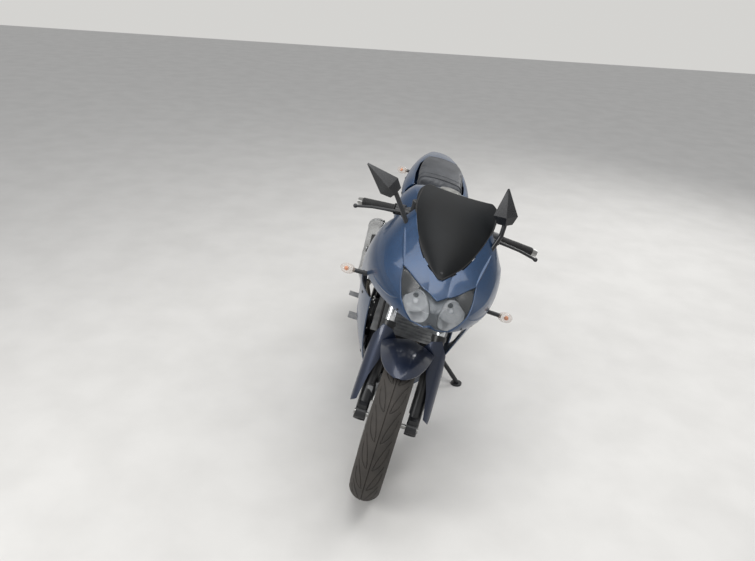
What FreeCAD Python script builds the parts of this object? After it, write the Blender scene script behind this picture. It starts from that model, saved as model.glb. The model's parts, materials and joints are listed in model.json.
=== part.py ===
# A 250-class sport bike with a full fairing, parked on its side stand.
# Millimetres. The bike is modelled upright: +X is the rider's left, +Y is towards the tail, +Z is up,
# and Y = 0 is straight above the front axle. At the end everything is leaned onto the stand.
# Each piece is a closed solid in a file of its own, named for the piece.
import FreeCAD, Part
import math
import os

V = FreeCAD.Vector

# Driving dimensions
WHEELBASE = 1400.0
RAKE_DEG = 26.0
TRAIL = 82.0
LEAN_DEG = 14.0
STEER_DEG = -8.0            # the bars rest a little to the rider's right
RIM_SEAT_R = 216.0          # 17 inch rims
FRONT_TYRE_R = 293.0        # 110/70-17
FRONT_TYRE_HALF = 55.0
FRONT_SHOULDER_R = 258.0
REAR_TYRE_R = 307.0         # 130/70-17
REAR_TYRE_HALF = 65.0
REAR_SHOULDER_R = 265.0
TYRE_WALL = 9.0
FRONT_RIM_HALF = 37.0
REAR_RIM_HALF = 46.0
RIM_WALL = 5.0
SPOKES = 6
FRONT_AXLE_R = 9.0
REAR_AXLE_R = 10.0
AXLE_CLEAR = 0.4            # running gap between an axle and its hub
SEAT_GAP = 0.3              # gap between pieces that rest on each other

FORK_X = 97.0               # each fork leg from the middle
FORK_OFFSET = 30.0          # fork legs ahead of the steering axis
FORK_TUBE_R = 18.5
FORK_LOWER_R = 25.0
FORK_LOWER_TOP = 655.0      # heights along the steering axis
FORK_FOOT = 272.0
LOWER_CLAMP = 745.0
CLAMP_H = 30.0
UPPER_CLAMP = 940.0
FORK_TOP = 976.0
STEM_R = 12.0
HEAD_R = 29.0
HEAD_BORE_R = 15.0
BAR_R = 11.0
GRIP_R = 16.5
PANEL = 4.0                 # fairing wall
PANEL_GAP = 2.0             # gap where two panels meet

RAKE = math.radians(RAKE_DEG)
UP = V(0, math.sin(RAKE), math.cos(RAKE))
AHEAD = V(0, -math.cos(RAKE), math.sin(RAKE))
STEER_FOOT = V(0, -TRAIL, 0)
FRONT_AXLE = V(0, 0, FRONT_TYRE_R)
REAR_AXLE = V(0, WHEELBASE, REAR_TYRE_R)
FRONT_HUB = FRONT_AXLE - STEER_FOOT
AXLE_U = FRONT_HUB.dot(UP)
AXLE_F = FRONT_HUB.dot(AHEAD)
LEFT = V(1, 0, 0)
ELBOW_SWELL = 1.015


def fork_point(x, ahead, up):
    """A point given in the fork's own directions, along and ahead of the steering axis."""
    return STEER_FOOT + LEFT * x + AHEAD * ahead + UP * up


def line(a, b):
    return Part.LineSegment(a, b).toShape()


def arc(a, b, c):
    return Part.Arc(a, b, c).toShape()


def loft(wires):
    return Part.makeLoft(wires, True, False)


def mirrored(shape):
    return shape.mirror(V(0, 0, 0), LEFT)


def pair(shape):
    """The piece and its copy on the other side, as solids that don't touch."""
    return Part.makeCompound([shape, mirrored(shape)])


def rod(a, b, radius):
    return Part.makeCylinder(radius, (b - a).Length, a, b - a)


def cone(a, b, r_a, r_b):
    return Part.makeCone(r_a, r_b, (b - a).Length, a, b - a)


def tube_run(points, radius):
    """A bent tube: straight runs with round elbows a little fuller than the tube."""
    runs = [rod(a, b, radius) for a, b in zip(points, points[1:])]
    elbows = [Part.makeSphere(radius * ELBOW_SWELL, p) for p in points[1:-1]]
    return runs[0].multiFuse(runs[1:] + elbows)


def fuse(first, *rest):
    return first.multiFuse(list(rest)).removeSplitter()


def block(x0, x1, y0, y1, z0, z1):
    return Part.makeBox(x1 - x0, y1 - y0, z1 - z0, V(x0, y0, z0))


def prism(points, direction):
    """The outline through the points, pushed along a direction."""
    wire = Part.makePolygon(points + [points[0]])
    return Part.Face(wire).extrude(direction)


def side_prism(outline, half):
    """A side outline of (y, z) points, as wide as half to each side."""
    return prism([V(-half, y, z) for y, z in outline], V(2 * half, 0, 0))


def ring_profile(points, centre, turns=360.0):
    """Turns a closed (radius, x) outline about the axle through centre."""
    wire = Part.makePolygon([centre + V(x, 0, r) for r, x in points + [points[0]]])
    return Part.Face(wire).revolve(centre, LEFT, turns)


def disc(centre, x0, x1, radius):
    return Part.makeCylinder(radius, x1 - x0, centre + V(x0, 0, 0), LEFT)


# Wheels

def tyre(centre, crown_r, half, shoulder_r):
    """Round crown, curved sidewalls down to the beads, hollow inside."""
    bead_x = half * 0.66
    bead_r = RIM_SEAT_R + SEAT_GAP
    mid_r = (shoulder_r + bead_r) / 2 - 3

    def at(r, x):
        return centre + V(x, 0, r)

    inner = half - TYRE_WALL
    edges = [
        arc(at(shoulder_r, -half), at(crown_r, 0), at(shoulder_r, half)),
        arc(at(shoulder_r, half), at(mid_r, half - 2), at(bead_r, bead_x)),
        line(at(bead_r, bead_x), at(bead_r, bead_x - TYRE_WALL)),
        arc(at(bead_r, bead_x - TYRE_WALL), at(mid_r, inner - 2), at(shoulder_r, inner)),
        arc(at(shoulder_r, inner), at(crown_r - TYRE_WALL, 0), at(shoulder_r, -inner)),
        arc(at(shoulder_r, -inner), at(mid_r, 2 - inner), at(bead_r, TYRE_WALL - bead_x)),
        line(at(bead_r, TYRE_WALL - bead_x), at(bead_r, -bead_x)),
        arc(at(bead_r, -bead_x), at(mid_r, 2 - half), at(shoulder_r, -half)),
    ]
    return Part.Face(Part.Wire(edges)).revolve(centre, LEFT, 360)


def rim(centre, half, hub_r, hub_half, bore_r, tyre_half):
    """Cast wheel: dished rim with a flange each side, a hub, and spokes that fork at the rim."""
    flange = tyre_half * 0.66 - TYRE_WALL - 1.5
    r_in = RIM_SEAT_R - 22
    outline = [
        (RIM_SEAT_R, -flange - RIM_WALL), (RIM_SEAT_R, -flange + 8), (r_in + 4, -flange + 22),
        (r_in + 4, flange - 22), (RIM_SEAT_R, flange - 8), (RIM_SEAT_R, flange + RIM_WALL),
        (RIM_SEAT_R - RIM_WALL, flange + RIM_WALL), (RIM_SEAT_R - RIM_WALL - 4, flange - 8),
        (r_in - 4, flange - 24), (r_in - 4, 24 - flange), (RIM_SEAT_R - RIM_WALL - 4, 8 - flange),
        (RIM_SEAT_R - RIM_WALL, -flange - RIM_WALL),
    ]
    barrel = ring_profile(outline, centre)
    hub = disc(centre, -hub_half, hub_half, hub_r)
    root, tip, near, far = 11.0, 9.0, hub_r - 6.0, r_in - 1.0
    spokes = []
    for i in range(SPOKES):
        outline = [
            V(-root, -root - 4, near), V(root, -root - 4, near),
            V(tip, -tip, far), V(-tip, -tip, far),
        ]
        foot = Part.makePolygon([V(-root, -14, near), V(root, -14, near), V(root, 14, near),
                                 V(-root, 14, near), V(-root, -14, near)])
        head = Part.makePolygon([V(-tip, -9, far), V(tip, -9, far), V(tip, 9, far),
                                 V(-tip, 9, far), V(-tip, -9, far)])
        arm = Part.makeLoft([foot, head], True, True)
        arm.rotate(V(0, 0, 0), LEFT, 360.0 * i / SPOKES)
        arm.translate(centre)
        spokes.append(arm)
    wheel = barrel.multiFuse([hub] + spokes)
    bore = disc(centre, -hub_half - 1, hub_half + 1, bore_r)
    return wheel.cut(bore)


def brake_disc(centre, x, thick, radius, inner_r, lobes, hub_r):
    """Wave-edged disc on a carrier with arms."""
    plate = disc(centre, x, x + thick, radius)
    notches = []
    for i in range(lobes):
        turn = 2 * math.pi * (i + 0.5) / lobes
        at = centre + V(0, math.cos(turn), math.sin(turn)) * (radius + 6)
        notches.append(disc(at, x - 1, x + thick + 1, 11))
    for i in range(lobes):
        turn = 2 * math.pi * i / lobes
        at = centre + V(0, math.cos(turn), math.sin(turn)) * (inner_r + 12)
        notches.append(disc(at, x - 1, x + thick + 1, 5))
    window = disc(centre, x - 1, x + thick + 1, inner_r)
    plate = plate.cut(window).cut(Part.makeCompound(notches))
    arms = []
    for i in range(5):
        arm = block(x, x + thick, -8, 8, hub_r - 3, inner_r + 4)
        arm.rotate(V(0, 0, 0), LEFT, 72.0 * i)
        arm.translate(V(0, centre.y, centre.z))
        arms.append(arm)
    carrier = disc(centre, x, x + thick, hub_r)
    hole = disc(centre, x - 1, x + thick + 1, hub_r - 14)
    return plate.multiFuse(arms + [carrier]).cut(hole)


FRONT_HUB_HALF = 46.0
FRONT_HUB_R = 30.0
REAR_HUB_HALF = 60.0
REAR_HUB_R = 38.0
FRONT_DISC_R = 145.0
FRONT_DISC_X = -63.0        # the front disc is on the rider's right
FRONT_DISC_THICK = 4.5
REAR_DISC_R = 110.0
REAR_DISC_X = -82.0
REAR_DISC_THICK = 5.0
SPROCKET_R = 116.0
SPROCKET_X = 78.0
SPROCKET_THICK = 6.0
SPROCKET_TEETH = 45
CHAIN_HALF = 8.0
CHAIN_H = 13.0
DRIVE_R = 42.0
DRIVE = V(0, 762, 395)
DRIVE_TEETH = 14


def wheel_front():
    bore = FRONT_AXLE_R + AXLE_CLEAR
    wheel = rim(FRONT_AXLE, FRONT_RIM_HALF, FRONT_HUB_R, FRONT_HUB_HALF, bore, FRONT_TYRE_HALF)
    boss = disc(FRONT_AXLE, FRONT_DISC_X + FRONT_DISC_THICK + SEAT_GAP, 0, 44)
    boss = boss.cut(disc(FRONT_AXLE, -FRONT_HUB_HALF - 40, 1, bore))
    return {
        "front_tyre": tyre(FRONT_AXLE, FRONT_TYRE_R, FRONT_TYRE_HALF, FRONT_SHOULDER_R),
        "front_rim": wheel.fuse(boss).removeSplitter(),
        "front_disc": brake_disc(FRONT_AXLE, FRONT_DISC_X, FRONT_DISC_THICK, FRONT_DISC_R,
                                 108, 10, 44),
    }


def sprocket():
    """Rear sprocket with its bolt-circle windows."""
    blank = toothed(REAR_AXLE, SPROCKET_X, SPROCKET_THICK, SPROCKET_R, SPROCKET_TEETH)
    reach = SPROCKET_X + SPROCKET_THICK + 1
    holes = [disc(REAR_AXLE, SPROCKET_X - 1, reach, 30)]
    for i in range(5):
        turn = 2 * math.pi * i / 5
        at = REAR_AXLE + V(0, math.cos(turn), math.sin(turn)) * 78
        holes.append(disc(at, SPROCKET_X - 1, reach, 17))
    return blank.cut(Part.makeCompound(holes))


def wheel_rear():
    bore = REAR_AXLE_R + AXLE_CLEAR
    wheel = rim(REAR_AXLE, REAR_RIM_HALF, REAR_HUB_R, REAR_HUB_HALF, bore, REAR_TYRE_HALF)
    left = disc(REAR_AXLE, 0, SPROCKET_X - SEAT_GAP, 52)
    right = disc(REAR_AXLE, REAR_DISC_X + REAR_DISC_THICK + SEAT_GAP, 0, 44)
    boss = left.fuse(right).cut(disc(REAR_AXLE, -100, 100, bore))
    return {
        "rear_tyre": tyre(REAR_AXLE, REAR_TYRE_R, REAR_TYRE_HALF, REAR_SHOULDER_R),
        "rear_rim": wheel.fuse(boss).removeSplitter(),
        "rear_disc": brake_disc(REAR_AXLE, REAR_DISC_X, REAR_DISC_THICK, REAR_DISC_R, 80, 8, 44),
        "rear_sprocket": sprocket(),
    }


# Steering: fork, bars and front mudguard, in the straight-ahead position

def fork_tubes():
    return pair(rod(fork_point(FORK_X, FORK_OFFSET, FORK_LOWER_TOP + 2),
                    fork_point(FORK_X, FORK_OFFSET, FORK_TOP), FORK_TUBE_R))


def fork_lowers():
    """Outer leg with a dust seal lip on top and an axle lug in front of its foot."""
    foot = fork_point(FORK_X, FORK_OFFSET, FORK_FOOT)
    top = fork_point(FORK_X, FORK_OFFSET, FORK_LOWER_TOP)
    leg = rod(foot, top, FORK_LOWER_R)
    lip = rod(top - UP * 18, top, FORK_LOWER_R + 3)
    socket = rod(top - UP * 90, top + UP * 5, FORK_TUBE_R + SEAT_GAP)
    lug_half = 20.0
    lug = disc(FRONT_AXLE, FORK_X - lug_half, FORK_X + lug_half, 21)
    web = block(FORK_X - lug_half + 4, FORK_X + lug_half - 4, FRONT_AXLE.y - 6,
                FRONT_AXLE.y + 26, FRONT_AXLE.z - 17, FRONT_AXLE.z + 38)
    bore = disc(FRONT_AXLE, 0, 200, FRONT_AXLE_R + AXLE_CLEAR)
    shape = leg.multiFuse([lip, lug, web]).cut(socket).cut(bore)
    inner = disc(FRONT_AXLE, 0, FORK_X - lug_half, 60)
    shape = shape.cut(inner)
    return pair(shape)


def triple_clamps():
    """Upper and lower clamps with the stem between them."""
    def clamp(up, ahead, half_depth):
        plate = Part.makeBox(2 * FORK_X, 2 * half_depth, CLAMP_H)
        plate.Placement = FreeCAD.Placement(
            fork_point(-FORK_X, ahead + half_depth, up),
            FreeCAD.Rotation(LEFT, V(0, 0, 0) - AHEAD, UP, "ZXY"))
        ends = [rod(fork_point(s * FORK_X, FORK_OFFSET, up),
                    fork_point(s * FORK_X, FORK_OFFSET, up + CLAMP_H), 29) for s in (1, -1)]
        hub = rod(fork_point(0, 0, up), fork_point(0, 0, up + CLAMP_H), 33)
        return plate.multiFuse(ends + [hub])

    lower = clamp(LOWER_CLAMP, FORK_OFFSET - 12, 16)
    upper = clamp(UPPER_CLAMP, FORK_OFFSET - 12, 16)
    stem = rod(fork_point(0, 0, LOWER_CLAMP), fork_point(0, 0, UPPER_CLAMP + CLAMP_H + 6), STEM_R)
    holes = [rod(fork_point(s * FORK_X, FORK_OFFSET, LOWER_CLAMP - 5),
                 fork_point(s * FORK_X, FORK_OFFSET, FORK_TOP + 5), FORK_TUBE_R + SEAT_GAP)
             for s in (1, -1)]
    return lower.multiFuse([upper, stem]).cut(Part.makeCompound(holes))


BAR_IN = (108.0, 4.0, 1074.0)      # x, ahead, up of the inner end of the left bar
BAR_OUT = (338.0, -58.0, 1066.0)


def bar_at(share):
    return fork_point(*[a + (b - a) * share for a, b in zip(BAR_IN, BAR_OUT)])


RISER_R = 18.0


def handlebars():
    """Each bar on its own cast riser from the upper clamp."""
    bar = rod(bar_at(0), bar_at(1), BAR_R)
    foot = fork_point(84, 2, UPPER_CLAMP + CLAMP_H + SEAT_GAP)
    top = bar_at(0.04)
    pad = rod(foot, foot + UP * 10, 19)
    arm = cone(foot + UP * 4, top, 16, 13)
    socket = rod(bar_at(-0.06), bar_at(0.10), RISER_R)
    tube = rod(fork_point(FORK_X, FORK_OFFSET, UPPER_CLAMP),
               fork_point(FORK_X, FORK_OFFSET, FORK_TOP + 5), FORK_TUBE_R + SEAT_GAP)
    return pair(fuse(bar, pad, arm, socket).cut(tube))


def grips():
    """Rubber grips with a flange at the inner end and a weight outside."""
    a, b = bar_at(0.42), bar_at(1.0)
    hole = rod(bar_at(0.3), b + (b - a).normalize() * 1, BAR_R + SEAT_GAP)
    grip = rod(a, b, GRIP_R).fuse(rod(a, a + (b - a).normalize() * 6, GRIP_R + 5))
    return pair(grip.cut(hole))


def bar_weights():
    a, b = bar_at(0.42), bar_at(1.0)
    way = (b - a).normalize()
    return pair(cone(b + way * SEAT_GAP, b + way * 21, 15.5, 12.5))


def hand_controls():
    """Switch housings, lever brackets and the two levers; the brake side has its fluid cup."""
    way = (bar_at(1) - bar_at(0)).normalize()
    house = rod(bar_at(0.26), bar_at(0.40), 22)
    perch = rod(bar_at(0.13), bar_at(0.22), 17)
    pivot = fork_point(132, 38, 1062)
    bracket = tube_run([bar_at(0.175), pivot - AHEAD * 12, pivot], 10)
    bore = rod(bar_at(0.05), bar_at(0.5), BAR_R + SEAT_GAP)
    lever = tube_run([pivot, fork_point(190, 30, 1056), fork_point(290, 18, 1046),
                      fork_point(352, 8, 1034)], 5.5)
    ball = Part.makeSphere(8.5, fork_point(354, 7.5, 1033.5))
    one = house.fuse(rod(bar_at(0.19), bar_at(0.28), 14))
    riser = rod(bar_at(-0.07), bar_at(0.107), RISER_R + 1.5)
    one = one.multiFuse([perch, bracket, lever, ball]).cut(bore).cut(riser)
    cup_foot = fork_point(-128, 42, 1066)
    cup = rod(cup_foot, cup_foot + V(0, -2, 44), 17)
    right = mirrored(one).fuse(cup)
    return Part.makeCompound([one, right])


FRONT_AXLE_REACH = FORK_X + 26
FRONT_AXLE_BORE = 6.0


def front_axle():
    """Hollow axle, open at both ends for a paddock stand's pin."""
    axle = disc(FRONT_AXLE, -FRONT_AXLE_REACH, FRONT_AXLE_REACH, FRONT_AXLE_R)
    return axle.cut(disc(FRONT_AXLE, -FRONT_AXLE_REACH, FRONT_AXLE_REACH, FRONT_AXLE_BORE))


MUD_R = 312.0
MUD_HALF = 68.0
MUD_WALL = 3.0


# Outline of a fork leg's guard seen along the fork. Columns: x, height along the fork.
GUARD = ((150, 330), (128, 345), (112, 440), (86, 520), (62, 572), (48, 594), (74, 628),
         (112, 640), (140, 590), (152, 500), (158, 400))


def leg_guard(side):
    """Tapered half tube that shields one fork leg from the front."""
    low, high = fork_point(side * 112, 20, 318), fork_point(side * 92, 34, 655)
    shell = cone(low, high, 42, 54).cut(cone(low, high, 42 - MUD_WALL, 54 - MUD_WALL))
    return shell.common(prism([fork_point(side * x, 30, up) for x, up in GUARD], AHEAD * 90))


# Hood of the front mudguard, from its front tip back to the fork. Columns: degrees ahead of
# the point above the axle, half width, radius at the crown and radius at the edge.
HOOD = ((27, 13, 311, 308), (23.5, 37, 312, 299), (18, 58, 313, 288), (8, 79, 313.5, 280),
        (-4, 92, 313.5, 278), (-17, 100, 314, 284))


def mud_hood():
    """Broad hood that narrows to a rounded tip over the tyre."""
    wires = []
    for degrees, half, crown, edge in HOOD:
        outer = arc(V(-half, 0, edge), V(0, 0, crown), V(half, 0, edge))
        inner = arc(V(half, 0, edge - MUD_WALL), V(0, 0, crown - MUD_WALL),
                    V(-half, 0, edge - MUD_WALL))
        wire = Part.Wire([outer, line(V(half, 0, edge), V(half, 0, edge - MUD_WALL)), inner,
                          line(V(-half, 0, edge - MUD_WALL), V(-half, 0, edge))])
        wire.rotate(V(0, 0, 0), LEFT, degrees)
        wire.translate(FRONT_AXLE)
        wires.append(wire)
    return loft(wires)


def front_mudguard():
    """Hood over the tyre, a dome behind it and a guard down the front of each fork leg."""
    def at(r, x):
        return FRONT_AXLE + V(x, 0, r)

    edge_r = MUD_R - 42
    outer = [arc(at(edge_r, -MUD_HALF), at(MUD_R, 0), at(edge_r, MUD_HALF)),
             line(at(edge_r, MUD_HALF), at(edge_r, MUD_HALF - MUD_WALL)),
             arc(at(edge_r, MUD_HALF - MUD_WALL), at(MUD_R - MUD_WALL, 0),
                 at(edge_r, MUD_WALL - MUD_HALF)),
             line(at(edge_r, MUD_WALL - MUD_HALF), at(edge_r, -MUD_HALF))]
    face = Part.Face(Part.Wire(outer))
    face.rotate(FRONT_AXLE, LEFT, -MUD_BACK_DEG)
    dome = face.revolve(FRONT_AXLE, LEFT, MUD_BACK_DEG + MUD_FRONT_DEG)
    guards = [leg_guard(side) for side in (1, -1)]
    studs = [rod(fork_point(s * 55, FORK_OFFSET, 585),
                 fork_point(s * (FORK_X - FORK_LOWER_R - SEAT_GAP), FORK_OFFSET, 585), 9)
             for s in (1, -1)]
    return dome.multiFuse(guards + studs + [mud_hood()])


MUD_FRONT_DEG = 12.0
MUD_BACK_DEG = 62.0


CALIPER_TOP = 398.0


def front_caliper():
    """Two-piston caliper behind the right leg, straddling the disc."""
    x_mid = FRONT_DISC_X + FRONT_DISC_THICK / 2
    body = block(x_mid - 30, x_mid + 22, 62, 132, 318, CALIPER_TOP)
    slot = disc(FRONT_AXLE, FRONT_DISC_X - 3, FRONT_DISC_X + FRONT_DISC_THICK + 3,
                FRONT_DISC_R + 5)
    ear = block(-FORK_X - 4, x_mid - 20, 40, 70, 340, 392)
    shape = body.fuse(ear).cut(slot)
    leg = rod(fork_point(-FORK_X, FORK_OFFSET, FORK_FOOT), fork_point(-FORK_X, FORK_OFFSET, 700),
              FORK_LOWER_R + SEAT_GAP)
    return shape.cut(leg)


def brake_hose():
    """Rubber hose from the fluid cup down behind the right leg to the caliper."""
    points = [fork_point(-118, 20, 1052), fork_point(-132, 8, 1000),
              fork_point(-138, 8, 900), fork_point(-138, 8, 760),
              fork_point(-134, -4, 620), fork_point(-112, -30, 480), V(-75, 128, 400)]
    caliper = block(-120, -40, 60, 140, 300, CALIPER_TOP + SEAT_GAP)
    return tube_run(points, 4.5).cut(caliper)


# Chassis

PIVOT = V(0, 850, 395)      # swingarm pivot
FRAME_R = 16.0
RAIL_R = 11.0
ENGINE_HALF = 150.0
PLATE_X = 138.0             # pivot plates, middle of their thickness
CROSS_Z = 487.0
BRACKET_X = PLATE_X + 7 + SEAT_GAP + 6
PEG_X = BRACKET_X + 6 + SEAT_GAP
SHOCK_LOW = V(0, 938, 402)
SHOCK_HIGH = V(0, 884, 688)
SHOCK_EYE_HALF = 16.0


def head_tube():
    low = LOWER_CLAMP + CLAMP_H + 0.5
    high = UPPER_CLAMP - 0.5
    return low, high


def lower_tubes(grow):
    """The two lower main tubes of the frame, thickened by grow."""
    runs = []
    for side in (1, -1):
        runs.append(tube_run([fork_point(0, -12, head_tube()[0] + 30), V(side * 142, 430, 704),
                              V(side * 156, 560, 610), V(side * 158, 770, 560)],
                             FRAME_R - 3 + grow))
    return runs[0].fuse(runs[1])


TANK_FLOOR = 744.8


def main_frame():
    """Steering head, two main tubes a side, the pivot plates and the cross tubes."""
    low, high = head_tube()
    head = rod(fork_point(0, 0, low), fork_point(0, 0, high), HEAD_R)
    bore = rod(fork_point(0, 0, low - 5), fork_point(0, 0, high + 5), HEAD_BORE_R)
    members = [lower_tubes(0)]
    for side in (1, -1):
        upper = [fork_point(0, -12, high - 30), V(side * 92, 470, 800), V(side * 150, 650, 690),
                 V(side * 158, 770, 560), V(side * PLATE_X, PIVOT.y, CROSS_Z)]
        members.append(tube_run(upper, FRAME_R))
        members.append(rod(V(side * 142, 430, 704), V(side * 92, 470, 800), FRAME_R - 4))
        plate = side_prism([(815, 290), (885, 290), (890, 500), (800, 500)], 7)
        plate.translate(V(side * PLATE_X, 0, 0))
        hanger = side_prism([(678, 432), (714, 432), (722, 580), (672, 590)], 8)
        hanger.translate(V(side * (ENGINE_HALF - 18 + SEAT_GAP + 8), 0, 0))
        post = Part.makeCylinder(12, TANK_FLOOR - 690 - SEAT_GAP, V(side * 60, 660, 690))
        members += [plate, hanger, post]
    members.append(rod(V(-PLATE_X, PIVOT.y, CROSS_Z), V(PLATE_X, PIVOT.y, CROSS_Z), FRAME_R))
    members.append(rod(V(-PLATE_X, 850, 293), V(PLATE_X, 850, 293), 11))
    members.append(rod(V(-150, 660, 690), V(150, 660, 690), FRAME_R - 3))
    frame = head.multiFuse(members)
    pivot_hole = rod(V(-200, PIVOT.y, PIVOT.z), V(200, PIVOT.y, PIVOT.z), 10 + AXLE_CLEAR)
    return frame.cut(bore).cut(pivot_hole)


STRUT_CLEAR = 3.0


def rear_struts(grow):
    """Struts from the pivot plates up to the rails, thickened by grow."""
    return pair(rod(V(134, 862, 512), V(84, 1130, 752), RAIL_R - 1 + grow))


def rear_frame():
    """The rails that carry the seats and the tail, with their struts."""
    members = []
    for side in (1, -1):
        rail = [V(side * 146, 690, 676), V(side * 100, 884, 722), V(side * 84, 1000, 730),
                V(side * 84, 1110, 750), V(side * 80, 1240, 788), V(side * 58, 1440, 862)]
        members.append(tube_run(rail, RAIL_R))
    members.append(rear_struts(0))
    members.append(rod(V(-84, 1000, 730), V(84, 1000, 730), RAIL_R))
    members.append(rod(V(-80, 1240, 788), V(80, 1240, 788), RAIL_R))
    members.append(rod(V(-100, SHOCK_HIGH.y, 722), V(100, SHOCK_HIGH.y, 722), RAIL_R))
    for side in (1, -1):
        ear = side_prism([(870, 676), (898, 676), (900, 722), (868, 722)], 4)
        ear.translate(V(side * (SHOCK_EYE_HALF + SEAT_GAP + 4), 0, 0))
        members.append(ear)
    members.append(rod(SHOCK_HIGH - LEFT * 24, SHOCK_HIGH + LEFT * 24, 6))
    return members[0].multiFuse(members[1:])


def toothed(centre, x, thick, radius, teeth):
    """Sprocket blank with its ring of teeth."""
    tall, base, tip = 9.0, 4.6, 1.6
    plate = disc(centre, x, x + thick, radius - tall + 3)
    ring = []
    for i in range(teeth):
        tooth = prism([V(x, -base, radius - tall), V(x, base, radius - tall),
                       V(x, tip, radius), V(x, -tip, radius)], V(thick, 0, 0))
        tooth.rotate(V(0, 0, 0), LEFT, 360.0 * i / teeth)
        tooth.translate(V(0, centre.y, centre.z))
        ring.append(tooth)
    return plate.multiFuse(ring)


def cylinder_block(ahead):
    """The two cylinders in one casting, its front face moved ahead by a gap."""
    return side_prism([(470 - ahead, 430), (622, 472), (560, 676), (412 - ahead, 632)], 112)


def engine():
    """Parallel twin: crankcase with round side covers, leaning cylinders and head, sump."""
    half = ENGINE_HALF - 18
    gearbox_y = DRIVE.y - DRIVE_R - CHAIN_H - 8      # the case steps in ahead of the chain
    front = side_prism([(520, 262), (gearbox_y, 262), (gearbox_y, 472), (560, 480), (505, 400)],
                       half)
    back = prism([V(-half, y, z) for y, z in ((gearbox_y, 262), (790, 262), (800, 330),
                                              (772, 462), (gearbox_y, 472))], V(half + 62, 0, 0))
    drive = toothed(DRIVE, SPROCKET_X, SPROCKET_THICK, DRIVE_R + 0.9, DRIVE_TEETH)
    shaft = disc(DRIVE, 40, SPROCKET_X + SPROCKET_THICK + 7, 17)
    case = front.multiFuse([back, drive, shaft])
    sump = side_prism([(560, 222), (760, 222), (790, 264), (530, 264)], 96)
    cylinders = cylinder_block(0)
    head = side_prism([(404, 628), (570, 674), (548, 712), (398, 668)], 120)
    covers = []
    for side, y, z, radius in ((1, 600, 370, 82), (-1, 600, 375, 86), (-1, 715, 350, 62)):
        covers.append(rod(V(side * (ENGINE_HALF - 20), y, z), V(side * ENGINE_HALF, y, z), radius))
        covers.append(cone(V(side * ENGINE_HALF, y, z), V(side * (ENGINE_HALF + 8), y, z),
                           radius - 6, radius - 20))
    shape = case.multiFuse([sump, cylinders, head] + covers)
    return shape


def radiator():
    """Cored radiator ahead of the cylinders, with side tanks and a fan ring behind."""
    core = side_prism([(352, 470), (378, 462), (398, 640), (372, 646)], 118)
    tanks = [side_prism([(348, 464), (384, 454), (404, 644), (368, 652)], 20) for _ in (0, 1)]
    tanks[0].translate(V(130, 0, 0))
    tanks[1].translate(V(-130, 0, 0))
    fins = [side_prism([(346, 480 + 14 * i), (352, 480 + 14 * i), (353, 483 + 14 * i),
                        (347, 483 + 14 * i)], 112) for i in range(11)]
    fins = [f.translated(V(0, 1.6 * i + 4, 0)) for i, f in enumerate(fins)]
    shape = core.multiFuse(tanks + fins)
    shape.translate(V(0, -25, 0))
    stays = [rod(V(s * 130, 362, 640), V(s * 130, 420, 706), 7) for s in (1, -1)]
    stays = Part.makeCompound(stays).cut(lower_tubes(SEAT_GAP))
    stays = [piece for piece in stays.Solids if piece.CenterOfMass.z < 690]
    return shape.multiFuse(stays)


def swingarm():
    """Two box arms with a cross brace, a pivot tube, and plates for the axle."""
    members = []
    for side in (1, -1):
        arm = side_prism([(830, 372), (1180, 330), (1180, 292), (1440, 282), (1452, 307),
                          (1440, 332), (1250, 352), (870, 425), (832, 420)], 13)
        arm.translate(V(side * 112, 0, 0))
        members.append(arm)
    brace = side_prism([(985, 350), (1050, 342), (1050, 388), (985, 400)], 112)
    tube = rod(V(-125, PIVOT.y, PIVOT.z), V(125, PIVOT.y, PIVOT.z), 24)
    for side in (1, -1):
        ear = side_prism([(990, 352), (990, 398), (938, 418), (924, 408), (924, 392)], 4)
        ear.translate(V(side * (SHOCK_EYE_HALF + SEAT_GAP + 4), 0, 0))
        members.append(ear)
    members.append(rod(SHOCK_LOW - LEFT * 24, SHOCK_LOW + LEFT * 24, 6))
    arms = members[0].multiFuse(members[1:] + [brace, tube])
    bore = rod(V(-130, PIVOT.y, PIVOT.z), V(130, PIVOT.y, PIVOT.z), 10 + AXLE_CLEAR)
    slots = [block(s * 112 - 15, s * 112 + 15, REAR_AXLE.y - 18, REAR_AXLE.y + 18,
                   REAR_AXLE.z - REAR_AXLE_R - SEAT_GAP, REAR_AXLE.z + REAR_AXLE_R + SEAT_GAP)
             for s in (1, -1)]
    return arms.cut(bore).cut(Part.makeCompound(slots))


def pivot_bolt():
    return rod(V(-160, PIVOT.y, PIVOT.z), V(160, PIVOT.y, PIVOT.z), 10)


def rear_axle():
    bolt = rod(REAR_AXLE - LEFT * 142, REAR_AXLE + LEFT * 142, REAR_AXLE_R)
    ends = [disc(REAR_AXLE, s * 134 - 8, s * 134 + 8, 17) for s in (1, -1)]
    return bolt.multiFuse(ends)


def rear_shock():
    """Damper body with its coil spring drawn as stacked turns."""
    low, high = SHOCK_LOW, SHOCK_HIGH
    way = (high - low).normalize()
    body = rod(low + way * 10, high - way * 10, SHOCK_EYE_HALF - 0.5)
    turns = []
    for i in range(9):
        ring = Part.makeTorus(27, 6.5, low + way * (66 + 21 * i), way)
        web = rod(low + way * (62 + 21 * i), low + way * (70 + 21 * i), 24)
        turns += [ring, web]
    seats = [rod(low + way * 48, low + way * 56, 34), rod(high - way * 42, high - way * 34, 34)]
    reach = LEFT * SHOCK_EYE_HALF
    eyes = [rod(low - reach, low + reach, 15), rod(high - reach, high + reach, 15)]
    holes = [rod(p - reach * 2, p + reach * 2, 6 + SEAT_GAP) for p in (low, high)]
    return body.multiFuse(turns + seats + eyes).cut(Part.makeCompound(holes))


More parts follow.
